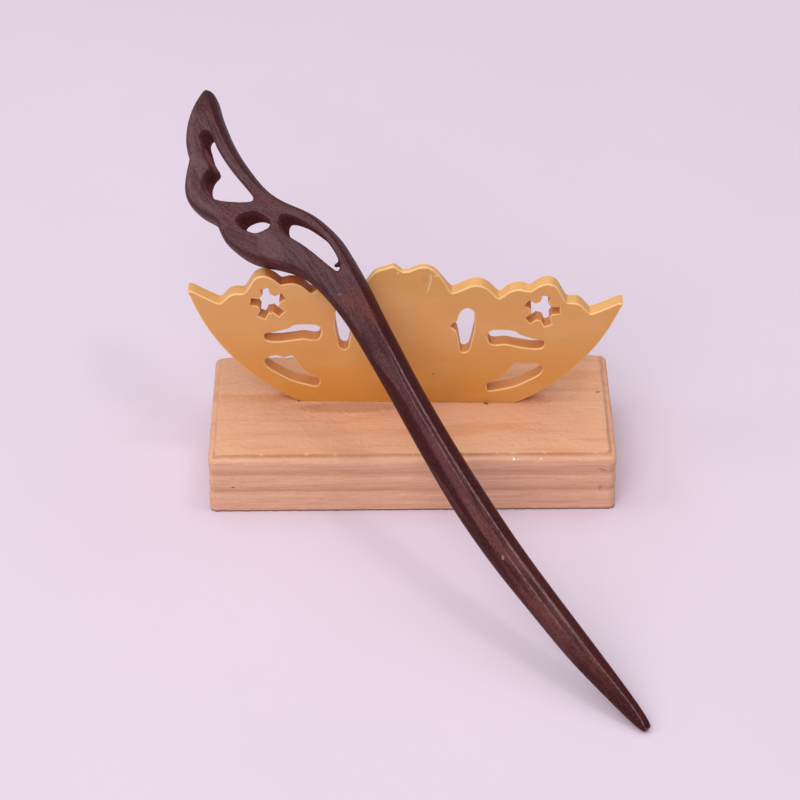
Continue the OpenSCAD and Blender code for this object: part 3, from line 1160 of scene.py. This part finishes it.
    def draw_out(self, stick: bpy.types.Object, before: Section, after: Section) -> None:
        """Extrudes the stick's open end by one section and shapes each of its worked edges.

        Args:
            stick: The stick, in edit mode, its open end selected.
            before: The section at the open end.
            after: The next section.
        """
        extrude((0, after.along - before.along, 0))
        split = (before.left + before.right) / 2
        height = after.thick / before.thick
        edges = (
            (1, before.right, after.right, after.right_rim / before.right_rim),
            (-1, before.left, after.left, after.left_rim / before.left_rim),
        )
        mesh = bmesh.from_edit_mesh(stick.data)
        mesh.verts.ensure_lookup_table()
        count = len(self.RIGHT_RIM) + len(self.LEFT_RIM)
        newest = set(range(len(mesh.verts) - count, len(mesh.verts)))
        sides = [
            {i for i in newest if (mesh.verts[i].co.x - split) * side > 0} for side, *_ in edges
        ]
        for chosen, (_, old, new, size) in zip(sides, edges):
            pick(stick, lambda vert: vert.index in chosen)
            bpy.ops.transform.resize(value=(size, 1, height), center_override=(old, after.along, 0))
            bpy.ops.transform.translate(value=(new - old, 0, 0))
        pick(stick, lambda vert: vert.index in newest)

    def chart_edges(self, stick: bpy.types.Object) -> None:
        """Charts how far each point lies in from the right edge, along, in from the left edge, and
        from the nearest piercing.

        Args:
            stick: The finished shape, in the stick's own frame.
        """
        rows = np.array([section[:3] for section in self.sections()])
        count = len(stick.data.vertices)
        points = np.empty(count * 3)
        stick.data.vertices.foreach_get("co", points)
        points = points.reshape(-1, 3)
        left = np.interp(points[:, 1], rows[:, 0], rows[:, 1])
        right = np.interp(points[:, 1], rows[:, 0], rows[:, 2])
        values = np.column_stack((right - points[:, 0], points[:, 1], points[:, 0] - left))
        write_chart(stick, "worked", values)
        rims = nearest([
            (x, y, 0) for outline in self.piercings(self.fine_steps) for x, y in outline
        ])
        write_chart(stick, "pierced", [rims.find((x, y, 0))[2] for x, y, _ in points])

    def piercings(self, steps: int) -> list[list[Vector]]:
        """Draws the outlines of the piercings.

        Args:
            steps: How many stretches each gap of a table is divided into.

        Returns:
            The outlines, each across and along, in the stick's own frame.
        """
        outlines = []
        for rows in (self.WING_HOLE, self.OVAL_HOLE, self.LEAF_HOLE):
            points = [
                (-left * self.head_reach, self.shaft_l + along * self.head_l)
                for along, left in rows
            ]
            outlines.append(closed_curve(points, steps))
        return outlines

    def pierce(self, stick: bpy.types.Object) -> None:
        """Cuts the piercings through the head.

        Args:
            stick: The solid stick, in object mode.
        """
        for number, outline in enumerate(self.piercings(self.steps)):
            cutter = outline_sheet(f"cutter_{number}", [outline])
            bpy.ops.transform.translate(value=(0, -self.thick, 0))
            extrude((0, 2 * self.thick, 0))
            close_up()
            cutter.data.transform(self.LAID_DOWN)
            combine(stick, cutter, "DIFFERENCE")

    def splinter(self, stick: bpy.types.Object) -> None:
        """Leaves a sliver and a few burrs at the narrow end of the leaf-shaped piercing.

        Args:
            stick: The pierced stick, in object mode.
        """
        for across, along, reach, slim, turn in self.BURRS:
            deselect_all()
            bpy.ops.mesh.primitive_ico_sphere_add(subdivisions=3, radius=1)
            burr = bpy.context.object
            burr.data.transform(
                Matrix.Translation((across, along, self.BURR_UP * self.thick))
                @ Matrix.Rotation(math.radians(turn), 4, "Z")
                @ Matrix.Diagonal((reach, slim, self.BURR_HALF, 1))
            )
            combine(stick, burr, "UNION")

    def build(self) -> bpy.types.Object:
        """Builds and dresses the stick.

        Returns:
            The finished piece.
        """
        stick = self.sweep()
        self.pierce(stick)
        self.splinter(stick)
        smooth_remesh(stick, self.voxel, self.smoothing)
        self.chart_edges(stick)
        settle(stick, self.place, DarkWood().build(self.place, self.shaft_l, self.marks()))
        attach(stick, "root")
        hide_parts("hair_stick")
        return stick

    def marks(self) -> list[Mark]:
        """Lists the streaks and specks on the face, the painted sheen on the head, and the painted
        light and painted shade on the wing hole's walls.

        Returns:
            The marks, in the stick's own frame.
        """
        face = self.MARKS_UP * self.thick
        tan: Colour = (0.42, 0.17, 0.11)
        red: Colour = (0.180, 0.048, 0.040)
        # pale: painted sheen on the head's face
        pale: Colour = (0.170, 0.095, 0.105)
        warm: Colour = (0.170, 0.058, 0.055)
        # deep: dark lines on the shaft's face, and painted shade in the wing hole
        deep: Colour = (0.040, 0.008, 0.008)
        dull: Colour = (0.055, 0.018, 0.020)
        # lit: painted light on the wing hole's wall
        lit: Colour = (0.570, 0.230, 0.240)
        return [
            Mark((-0.9, 116.0, face), (1.2, 3.0, 3.0), red, 0.45),
            Mark((1.7, 113.5, face), (1.1, 6.5, 3.0), red, 0.4),
            # Painted sheen: pale patches on the head's face
            Mark((-8.0, 138.5, face), (2.4, 6.0, 3.0), pale, 0.4),
            Mark((-10.9, 163.0, face), (1.5, 8.5, 3.0), pale, 0.5),
            Mark((-1.9, 178.8, face), (3.4, 3.8, 3.0), dull, 0.6),
            # Painted light on the sloped part of the wing hole's wall
            Mark((-8.3, 166.2, 0.2), (1.7, 3.6, 2.7), lit, 0.6),
            Mark((-12.9, 158.6, 0.2), (1.6, 2.6, 2.7), lit, 0.3),
            # Painted shade deeper in the wing hole
            Mark((-10.8, 163.6, 0.6), (2.1, 2.6, 3.6), deep, 0.3),
            Mark((-10.7, 163.6, 0.6), (1.4, 1.8, 3.2), deep, 0.35),
            Mark((-3.95, 54.5, face), (1.2, 9.0, 3.0), warm, 0.55),
            Mark((-3.4, 30.0, face), (1.2, 7.0, 3.0), warm, 0.3),
            Mark((-5.2, 28.0, face), (1.3, 14.0, 3.0), warm, 0.35),
            Mark((-6.4, 66.0, face), (0.5, 9.0, 3.0), red, 0.35),
            Mark((-5.5, 60.0, face), (0.4, 12.0, 3.0), deep, 0.7),
            Mark((-6.0, 47.0, face), (0.4, 7.0, 3.0), deep, 0.5),
            Mark((-4.2, 40.5, face), (0.4, 5.0, 3.0), deep, 0.6),
            Mark((-4.5, 17.0, face), (0.4, 6.0, 3.0), deep, 0.5),
            Mark((-3.4, 13.0, face), (0.5, 6.0, 3.0), deep, 0.5),
            Mark((-4.5, 47.1, face), (0.35, 0.6, 1.5), tan, 0.9),
            Mark((-3.1, 34.9, face), (0.2, 0.5, 1.5), tan, 0.5),
            Mark((-1.4, 118.6, face), (0.3, 0.3, 1.5), tan, 0.45),
        ]


class Layer(NamedTuple):
    """A layer of the plate: how far back it lies, and how far into the wood its outline is
    drawn."""

    back: float
    inset: float


@dataclass
class StandPlate:
    """The crescent plate with its scalloped top and its cut-outs."""

    width: float = 96.0
    height: float = 40.6
    thick: float = 3.8
    foot_flat: float = 6.5
    sink: float = 5.2
    star_reach: float = 3.9
    star_arm_w: float = 1.7
    star_core_r: float = 2.4
    crest_thick: float = 1.5
    lip: float = 0.38
    back_lip: float = 0.15
    least_step: float = 0.42
    belly_steps: int = 40
    right_wear: float = 3.0
    left_wear: float = 6.0
    place_x: float = -2.0
    place_y: float = 0.6
    place_z: float = 14.5
    turn: float = -1.4
    lean: float = 1.5
    steps: int = 4

    # The middle lobes from the notch between them outwards: across (share of half the width), up
    # (share of the height)
    RIGHT_LOBE = (
        (0.000, 0.965), (0.019, 0.970), (0.044, 0.986), (0.077, 0.999), (0.104, 0.994),
        (0.130, 0.978), (0.167, 0.929), (0.194, 0.872),
    )
    LEFT_LOBE = (
        (0.000, 0.965), (0.015, 0.964), (0.027, 0.973), (0.044, 0.991), (0.060, 0.998),
        (0.090, 0.983), (0.123, 0.970), (0.152, 0.945), (0.181, 0.892),
    )
    # A half's top from its middle lobe out to the wing tip, in the same columns
    WING_TOP = (
        (0.210, 0.842), (0.222, 0.838), (0.265, 0.865), (0.308, 0.889),
        (0.344, 0.889), (0.381, 0.867), (0.424, 0.817), (0.438, 0.815), (0.469, 0.850),
        (0.500, 0.869), (0.531, 0.872), (0.566, 0.861), (0.579, 0.866), (0.598, 0.887),
        (0.635, 0.911), (0.667, 0.911), (0.694, 0.892), (0.719, 0.842), (0.738, 0.803),
        (0.750, 0.796), (0.775, 0.797), (0.800, 0.791), (0.822, 0.768), (0.846, 0.735),
        (0.860, 0.732), (0.917, 0.764), (0.965, 0.795), (0.981, 0.804), (0.992, 0.808),
        (1.000, 0.802), (0.999, 0.788),
    )
    # Where the belly's curve would meet the wing tip if that were sharp
    TIP_UP = 0.805
    # Where the middle lobes end
    VALLEY = (0.215, 0.833)
    # The right half's cut-outs, in the same columns
    UPRIGHT_SLOT = (
        (0.250, 0.702), (0.269, 0.736), (0.292, 0.744), (0.319, 0.722), (0.321, 0.685),
        (0.321, 0.618), (0.314, 0.560), (0.300, 0.478), (0.279, 0.458), (0.262, 0.468),
        (0.256, 0.512), (0.240, 0.596), (0.212, 0.627), (0.240, 0.660),
    )
    LEVEL_SLOT = (
        (0.385, 0.562), (0.402, 0.517), (0.437, 0.517), (0.467, 0.522), (0.521, 0.510),
        (0.588, 0.498), (0.640, 0.505), (0.645, 0.545), (0.594, 0.559), (0.535, 0.584),
        (0.504, 0.606), (0.427, 0.611), (0.391, 0.596),
    )
    LOW_LEAF = (
        (0.398, 0.213), (0.394, 0.260), (0.431, 0.280), (0.473, 0.320), (0.498, 0.365),
        (0.513, 0.401), (0.533, 0.406), (0.554, 0.394), (0.594, 0.405), (0.630, 0.392),
        (0.648, 0.366), (0.632, 0.331), (0.580, 0.289), (0.514, 0.246), (0.440, 0.222),
    )
    STAR_AT = (0.629, 0.739)
    STAR_ARMS = 5
    STAR_TURN = 5.0
    # What lies up to this far below their end still belongs to the middle lobes (mm)
    BELOW_VALLEY = 1.0
    # What counts as the same place (mm)
    NEAR = 0.05
    # The steps round the front rim and the back rim, in degrees from the flat face
    FRONT_STEPS = (0, 30, 60, 90)
    BACK_STEPS = (90, 45, 0)

    @property
    def place(self) -> Matrix:
        """The plate's own frame: Y back from its front face, Z up from the slab's top."""
        return (
            Matrix.Translation((0, self.place_y, self.place_z))
            @ Matrix.Rotation(math.radians(self.turn), 4, "Z")
            @ Matrix.Translation((self.place_x, 0, 0))
            @ Matrix.Rotation(math.radians(self.lean), 4, "Y")
        )

    def at(self, row: Sequence[float], side: int = 1) -> Vector:
        """Turns a table's row into a place on the plate's face.

        Args:
            row: Across and up, in shares.
            side: 1 for the right half, -1 for the left.

        Returns:
            The place across and up, in millimetres.
        """
        return Vector((side * row[0] * self.width / 2, row[1] * self.height - self.sink))

    def outline(self) -> list[Vector]:
        """Draws the plate's outline.

        Returns:
            Its points, once round.
        """
        halves = []
        for side, lobe in ((1, self.RIGHT_LOBE), (-1, self.LEFT_LOBE)):
            top = open_curve((*lobe, *self.WING_TOP), self.steps)
            belly = [Vector((side * point.x, point.y)) for point in self.belly()]
            halves.append([*(self.at(point, side) for point in top), *belly])
        right, left = halves
        return [*right, *reversed(left[1:])]

    def belly(self) -> list[Vector]:
        """Draws the right half's belly, from just below the wing tip to the foot.

        Returns:
            Its points.
        """
        flat, radius = self.foot_flat / 2, self.belly_r
        start, end = math.asin((self.tip_up - radius) / radius), -math.pi / 2
        points = []
        for step in range(1, self.belly_steps + 1):
            angle = start + (end - start) * step / self.belly_steps
            across, up = flat + radius * math.cos(angle), radius * (1 + math.sin(angle))
            points.append(Vector((across, up - self.sink)))
        return points

    def star(self, side: int) -> list[Vector]:
        """Draws a star-shaped cut-out: a round core with straight arms.

        Args:
            side: 1 for the right half, -1 for the left.

        Returns:
            Its points, once round.
        """
        half = self.star_arm_w / 2
        root = math.sqrt(self.star_core_r**2 - half**2)
        corners = ((root, -half), (self.star_reach, -half), (self.star_reach, half), (root, half))
        middle = self.at(self.STAR_AT, side)
        points = []
        for arm in range(self.STAR_ARMS):
            angle = math.radians(self.STAR_TURN + arm * 360 / self.STAR_ARMS)
            out = Vector((math.cos(angle), math.sin(angle)))
            across = Vector((-out.y, out.x))
            for reach, shift in corners:
                point = out * reach + across * shift
                points.append(middle + Vector((side * point.x, point.y)))
        return points

    def cut_outs(self, side: int) -> list[list[Vector]]:
        """Draws the cut-outs of one half.

        Args:
            side: 1 for the right half, -1 for the left.

        Returns:
            Their outlines.
        """
        tables = (self.UPRIGHT_SLOT, self.LEVEL_SLOT, self.LOW_LEAF)
        placed = ([self.at(row, side) for row in table] for table in tables)
        return [*(closed_curve(points, self.steps) for points in placed), self.star(side)]

    def wear_crest(self, plate: bpy.types.Object) -> None:
        """Lowers the back edge of the two middle lobes, which are worn away there.

        Args:
            plate: The plate, in edit mode.
        """
        reach, valley = self.at(self.VALLEY)
        drop = self.thick - self.crest_thick
        mesh = bmesh.from_edit_mesh(plate.data)
        for vert in mesh.verts:
            across = abs(vert.co.x) / reach
            behind = vert.co.y > self.thick - self.back_lip - self.NEAR
            if behind and vert.co.z > valley - self.BELOW_VALLEY and across < 1:
                wear = self.right_wear if vert.co.x > 0 else self.left_wear
                vert.co.z -= drop * (1 - across**wear)
        bmesh.update_edit_mesh(plate.data)

    def layers(self) -> list[Layer]:
        """Works out the plate's layers, from its front face over its rounded edges to its back.

        Returns:
            The layers.
        """
        front = [self.layer(self.lip, degrees) for degrees in self.FRONT_STEPS]
        back = [self.layer(self.back_lip, degrees) for degrees in self.BACK_STEPS]
        back = [Layer(self.thick - layer.back, layer.inset) for layer in back]
        return [*front, Layer(self.crest_thick, 0.0), *back]

    def layer(self, lip: float, degrees: float) -> Layer:
        """Finds a layer of a rounded edge, by its angle round the edge from the flat face."""
        angle = math.radians(degrees)
        return Layer(lip * (1 - math.cos(angle)), lip * (1 - math.sin(angle)))

    def laid(self, loops: Outlines, inset: float) -> list[list[Vector]]:
        """Draws a layer's outline and cut-outs.

        Args:
            loops: The plate's outline, then its cut-outs.
            inset: How far into the wood they are drawn.

        Returns:
            The layer's outline, then its cut-outs.
        """
        return [grown(loops[0], -inset), *(grown(loop, inset) for loop in loops[1:])]

    def reshape(self, plate: bpy.types.Object, before: Outlines, after: Outlines) -> None:
        """Moves the points of the newest layer from one set of outlines to another.

        Args:
            plate: The plate, in edit mode, its newest layer selected.
            before: The outlines on which the points lie.
            after: The outlines on which they are to lie.
        """
        places = [point for loop in after for point in loop]
        finder = nearest([(x, 0, up) for loop in before for x, up in loop])
        mesh = bmesh.from_edit_mesh(plate.data)
        for vert in mesh.verts:
            if vert.select:
                _, number, _ = finder.find((vert.co.x, 0, vert.co.z))
                vert.co.x, vert.co.z = places[number]
        bmesh.update_edit_mesh(plate.data)

    def chart_cuts(self, plate: bpy.types.Object, loops: Outlines) -> None:
        """Charts which points lie on the walls of the cut-outs.

        Args:
            plate: The plate, in its own frame, in object mode.
            loops: The outlines of the cut-outs.
        """
        finder = nearest([(x, 0, up) for loop in loops for x, up in loop])
        away = [finder.find((vert.co.x, 0, vert.co.z))[2] for vert in plate.data.vertices]
        write_chart(plate, "sawn", [float(distance < 2 * self.lip) for distance in away])

    def belly_half(self, up: float) -> float:
        """Finds half the width of the round lower edge at a height above the plate's foot."""
        return self.foot_flat / 2 + math.sqrt(self.belly_r**2 - (self.belly_r - up) ** 2)

    @property
    def tip_up(self) -> float:
        """Height above the foot at which the belly's curve would meet the wing tip."""
        return self.TIP_UP * self.height

    @property
    def belly_r(self) -> float:
        """Radius of the round lower edge, which passes the wing tips and is level at the foot."""
        reach = self.width / 2 - self.foot_flat / 2
        return (reach**2 + self.tip_up**2) / (2 * self.tip_up)

    def build(self) -> bpy.types.Object:
        """Builds and dresses the plate.

        Returns:
            The finished piece.
        """
        loops = [self.outline(), *self.cut_outs(-1), *self.cut_outs(1)]
        loops = [spaced(loop, self.least_step) for loop in loops]
        layers = self.layers()
        plate = outline_sheet("stand_plate_cut", self.laid(loops, layers[0].inset))
        for before, after in zip(layers, layers[1:]):
            extrude((0, after.back - before.back, 0))
            self.reshape(plate, self.laid(loops, before.inset), self.laid(loops, after.inset))
        self.wear_crest(plate)
        close_up()
        bpy.ops.object.shade_smooth_by_angle(angle=SHARP)
        apply_modifier(plate, "WEIGHTED_NORMAL", keep_sharp=True, weight=100)
        self.chart_cuts(plate, loops[1:])
        finish = TanPlate().build(
            self.place, self.thick, self.height - self.sink, self.marks(), self.painted_shadows()
        )
        settle(plate, self.place, finish)
        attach(plate, "root")
        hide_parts("stand_plate")
        return plate

    def marks(self) -> list[Mark]:
        """Lists the scratches and smudges on the front.

        Returns:
            The marks, in the plate's own frame.
        """
        white: Colour = (0.80, 0.62, 0.40)
        grey: Colour = (0.42, 0.27, 0.19)
        speck: Colour = (0.10, 0.03, 0.01)
        return [
            Mark((5.2, 0, 30.6), (0.24, 1.5, 1.9), white, 0.8, 12),
            Mark((5.5, 0, 32.8), (0.22, 1.5, 1.0), white, 0.8, -5),
            Mark((6.8, 0, 33.3), (1.0, 1.5, 0.25), white, 0.8, -12),
            Mark((5.0, 0, 35.2), (0.7, 1.5, 0.7), grey, 0.6),
            Mark((4.2, 0, 32.2), (0.7, 1.5, 1.1), grey, 0.25),
            Mark((-1.7, 0, 33.7), (0.35, 1.5, 0.35), white, 0.8),
            Mark((-0.9, 0, 34.1), (0.4, 1.5, 0.3), grey, 0.7),
            Mark((6.7, 0, 7.6), (0.22, 1.5, 0.22), speck, 0.9),
        ]

    def painted_shadows(self) -> list[Mark]:
        """Lists the painted shadow, dark orange-brown, on the top edge under the stick where it
        lies on it.

        Returns:
            The marks, in the plate's own frame.
        """
        shadow_brown: Colour = (0.560, 0.110, 0.025)
        return [
            # Painted shadow, dark orange-brown, where the stick lies over the top edge
            Mark((-23.2, 2.4, 29.6), (5.6, 4.5, 3.6), shadow_brown, 0.95),
            Mark((-28.9, 2.8, 31.2), (2.5, 4.0, 3.0), shadow_brown, 0.85),
        ]


@dataclass
class StandBase:
    """The block: shallow mouldings round it, a thin slab on top and a slot for the plate."""

    width: float = 90.0
    depth: float = 42.5
    height: float = 13.6
    slab_h: float = 0.9
    slab_inset: float = 1.4
    corner_r: float = 1.6
    corner_steps: int = 8
    groove: float = 0.45
    slot_gap: float = 0.15
    lip: float = 0.35
    voxel: float = 0.4
    smoothing: int = 1
    roughness: float = 0.32
    grit_size: float = 0.9
    grit_detail: int = 3
    # The value of the rough pattern that moves nothing, so that little stands out of the block
    grit_middle: float = 0.62

    # The block from its foot up: top (share of the height), step in (share of groove)
    TIERS = (
        (0.00, 0.0), (0.02, 0.0), (0.29, 0.0), (0.325, 0.3), (0.36, 0.9), (0.385, 1.0),
        (0.43, 0.55), (0.48, 0.15), (0.52, 0.0), (0.62, 0.0), (0.655, 0.3), (0.69, 0.9),
        (0.715, 1.0), (0.77, 0.55), (0.83, 0.15), (0.87, 0.0), (0.95, 0.0), (0.985, 0.4),
        (1.00, 1.2),
    )
    # The round at the slab's foot, outwards and upwards (mm), and where the slab's rounded edge
    # starts (share of slab_h)
    FILLET_OUT = 0.1
    FILLET_UP = 0.12
    RIM_FROM = 0.7
    # What lies below this (share of the height) can be in a groove, what lies above it in the step
    # below the slab
    GROOVES_TO = 0.9
    # The least height of a groove, and how far in from the faces a groove and the step can lie (mm)
    GROOVE_ABOVE = 1.0
    GROOVE_IN = 1.0
    STEP_IN = 2.0
    # Half the width of the step and how far it reaches above the block's edge (mm)
    STEP_HALF = 0.6
    STEP_UP = 0.6
    # How much painted shade a groove and the step get. The step's painted shade is strongest at the
    # front, up to this far back from there (mm)
    GROOVE_SHADE = 0.55
    STEP_SHADE = 0.5
    FRONT_STEP_SHADE = 1.4
    FRONT_RUN = 4.0

    def levels(self) -> list[tuple[float, float]]:
        """Works out the block's outline from its foot up.

        Returns:
            Heights, each with the step in from the widest outline, in millimetres.
        """
        top, inset = self.height, self.slab_inset
        return [
            *((share * top, step * self.groove) for share, step in self.TIERS),
            (top, inset - self.FILLET_OUT),
            (top + self.FILLET_UP, inset),
            (top + self.RIM_FROM * self.slab_h, inset),
            (top + self.slab_h, inset + self.lip),
        ]

    def build(self, plate: StandPlate) -> bpy.types.Object:
        """Builds and dresses the block.

        Args:
            plate: The plate that stands in it.

        Returns:
            The finished piece.
        """
        deselect_all()
        bpy.ops.mesh.primitive_plane_add(size=1, location=(0, 0, 0))
        base = bpy.context.object
        base.name = "stand_base_moulded"
        bpy.ops.object.mode_set(mode="EDIT")
        bpy.ops.transform.resize(value=(self.width, self.depth, 1), center_override=(0, 0, 0))
        bpy.ops.mesh.bevel(offset=self.corner_r, segments=self.corner_steps, affect="VERTICES")
        bpy.ops.mesh.select_all(action="SELECT")
        inset, level = 0.0, 0.0
        for number, (up, step) in enumerate(self.levels()):
            if number:
                extrude((0, 0, up - level))
            narrow = (self.width - 2 * step) / (self.width - 2 * inset)
            shallow = (self.depth - 2 * step) / (self.depth - 2 * inset)
            bpy.ops.transform.resize(value=(narrow, shallow, 1), center_override=(0, 0, up))
            inset, level = step, up
        close_up()
        self.roughen(base)
        self.cut_slot(base, plate)
        bpy.ops.object.shade_smooth_by_angle(angle=SHARP)
        # Charts the painted shade for the grooves and the step below the slab
        write_chart(base, "painted_groove_shade", [self.painted_groove_shade(vert.co) for vert in base.data.vertices])
        settle(base, Matrix.Identity(4), PaleWood().build(Matrix.Identity(4), self.marks()))
        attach(base, "root")
        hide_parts("stand_base")
        return base

    def roughen(self, base: bpy.types.Object) -> None:
        """Gives the block the uneven faces and frayed edges of coarsely sanded wood.

        Args:
            base: The solid block, in object mode.
        """
        smooth_remesh(base, self.voxel, self.smoothing)
        grit = bpy.data.textures.new("grit", "CLOUDS")
        grit.noise_scale = self.grit_size
        grit.noise_depth = self.grit_detail
        apply_modifier(
            base,
            "DISPLACE",
            texture=grit,
            texture_coords="LOCAL",
            strength=self.roughness,
            mid_level=self.grit_middle,
        )
        apply_modifier(base, "TRIANGULATE")

    def painted_groove_shade(self, place: Vector) -> float:
        """Finds how much painted shade a point gets in a groove or in the step below the slab.

        Args:
            place: The point, in the block's own frame.

        Returns:
            The strength of the painted shade, which is 0 on the open faces.
        """
        edge_in = min(self.width / 2 - abs(place.x), self.depth / 2 - abs(place.y))
        if place.z < self.GROOVES_TO * self.height:
            if edge_in >= self.GROOVE_IN or place.z <= self.GROOVE_ABOVE:
                return 0.0
            ups, steps = zip(*self.TIERS)
            step = float(np.interp(place.z / self.height, ups, steps))
            return self.GROOVE_SHADE * min(step, 1.0)
        if edge_in >= self.STEP_IN or place.z >= self.height + self.STEP_UP:
            return 0.0
        at_front = place.y < self.FRONT_RUN - self.depth / 2
        deep = self.FRONT_STEP_SHADE if at_front else self.STEP_SHADE
        return deep * max(0.0, 1 - abs(edge_in - self.slab_inset) / self.STEP_HALF)

    def cut_slot(self, base: bpy.types.Object, plate: StandPlate) -> None:
        """Cuts the slot that the plate stands in.

        Args:
            base: The solid block, in object mode.
            plate: The plate.
        """
        tilt = self.width / 4 * math.sin(math.radians(plate.lean))
        left, right = (
            plate.belly_half(plate.sink + side * tilt) + self.slot_gap for side in (-1, 1)
        )
        deep, high = plate.thick + 2 * self.slot_gap, 2 * (plate.sink + 2 * self.slot_gap)
        deselect_all()
        bpy.ops.mesh.primitive_cube_add(size=1)
        cutter = bpy.context.object
        cutter.data.transform(
            plate.place
            @ Matrix.Translation(((right - left) / 2, plate.thick / 2, 0))
            @ Matrix.Diagonal((left + right, deep, high, 1))
        )
        combine(base, cutter, "DIFFERENCE")
        base.select_set(True)
        bpy.context.view_layer.objects.active = base

    def marks(self) -> list[Mark]:
        """Lists the specks and stains on the block, and the painted shade along the plate's foot.

        Returns:
            The marks, in the block's own frame.
        """
        dark: Colour = (0.10, 0.03, 0.02)
        brown: Colour = (0.36, 0.13, 0.07)
        white: Colour = (0.95, 0.85, 0.80)
        front = -self.depth / 2
        top = self.height + self.slab_h
        return [
            Mark((-39.6, front, 6.5), (0.4, 1, 0.22), dark, 0.95),
            Mark((22.3, front, 13.4), (0.35, 1, 0.25), white, 0.95),
            Mark((16.3, front, 13.9), (0.5, 1, 0.12), white, 0.6),
            Mark((28.3, front, 13.4), (0.5, 1, 0.15), white, 0.4),
            Mark((42.0, front, 10.3), (1.3, 1, 0.25), brown, 0.55, 25),
            Mark((41.4, front, 5.6), (0.35, 1, 1.0), brown, 0.45),
            Mark((42.1, 4.0, top), (0.6, 0.4, 1), brown, 0.9),
            Mark((36.0, 1.8, top), (0.35, 0.25, 1), brown, 0.4),
            Mark((31.1, 0.6, top), (0.35, 0.25, 1), brown, 0.4),
            Mark((16.7, -0.3, top), (0.6, 0.35, 1), dark, 0.9),
            # Painted shade on the slab's top along the plate's foot
            Mark((-14.0, -1.6, top), (13.0, 2.4, 1), brown, 0.45),
        ]


@dataclass
class Studio:
    """The plain floor, the soft lights and the camera at the photo's angle."""

    target: Place = (-2.57, 23.19, 0.0)
    distance: float = 724.8
    elevation: float = 33.48
    turn: float = -0.071
    roll: float = -0.382
    focal_px: float = 3100.0
    image_px: float = 800.0
    floor_size: float = 6.0
    sky: Colour = (1.0, 0.97, 1.0)
    sky_strength: float = 0.12

    # The lights: name, place and length of side (m), power (W)
    LIGHTS = (
        ("overhead", (0.0, 0.2, 1.2), 1.8, 12.3),
        ("key", (0.36, -0.13, 1.09), 0.16, 1.0),
        ("left", (-1.0, -0.1, 0.8), 0.5, 3.0),
        ("front", (-0.4, -1.5, 1.35), 1.3, 21.5),
    )

    def camera(self) -> None:
        """Sets up the camera."""
        data = bpy.data.cameras.new("camera")
        data.sensor_width = 36.0
        data.lens = data.sensor_width * self.focal_px / self.image_px
        data.clip_start, data.clip_end = 0.02, 20.0
        camera = bpy.data.objects.new("camera", data)
        bpy.context.collection.objects.link(camera)
        turns = (
            Matrix.Rotation(math.radians(self.turn), 4, "Z")
            @ Matrix.Rotation(math.radians(90 - self.elevation), 4, "X")
            @ Matrix.Rotation(math.radians(self.roll), 4, "Z")
        )
        back = turns @ Vector((0, 0, self.distance * MM))
        camera.matrix_world = Matrix.Translation(Vector(self.target) * MM + back) @ turns
        bpy.context.scene.camera = camera

    def floor(self) -> None:
        """Lays the floor."""
        deselect_all()
        bpy.ops.mesh.primitive_plane_add(size=self.floor_size)
        floor = bpy.context.object
        floor.name = "floor"
        floor.data.materials.append(PaleGround().build())

    def light(self, name: str, at: Place, size: float, power: float) -> None:
        """Hangs a square soft white light that looks at the object.

        Args:
            name: Its name.
            at: Its place, in metres.
            size: The length of its side, in metres.
            power: Its power, in watts.
        """
        data = bpy.data.lights.new(name, "AREA")
        data.size, data.energy = size, power
        light = bpy.data.objects.new(name, data)
        bpy.context.collection.objects.link(light)
        light.location = at
        light.rotation_euler = (-Vector(at)).to_track_quat("-Z", "Y").to_euler()

    def build(self) -> None:
        """Sets up the whole studio."""
        self.camera()
        self.floor()
        world = bpy.data.worlds.new("studio")
        bpy.context.scene.world = world
        world.use_nodes = True
        background = world.node_tree.nodes["Background"]
        background.inputs["Color"].default_value = (*self.sky, 1)
        background.inputs["Strength"].default_value = self.sky_strength
        for row in self.LIGHTS:
            self.light(*row)
        settings = bpy.context.scene.view_settings
        settings.view_transform = "Standard"
        settings.look = "None"


def main() -> None:
    """Builds every piece in order and reports each one."""
    logging.basicConfig(level=logging.INFO, format="%(message)s")
    plate = StandPlate()
    pieces = [HairStick().build(), plate.build(), StandBase().build(plate)]
    for piece in pieces:
        piece.data.calc_loop_triangles()
        LOG.info("%s: %d triangles", piece.name, len(piece.data.loop_triangles))
    Studio().build()


if __name__ == "__main__":
    main()
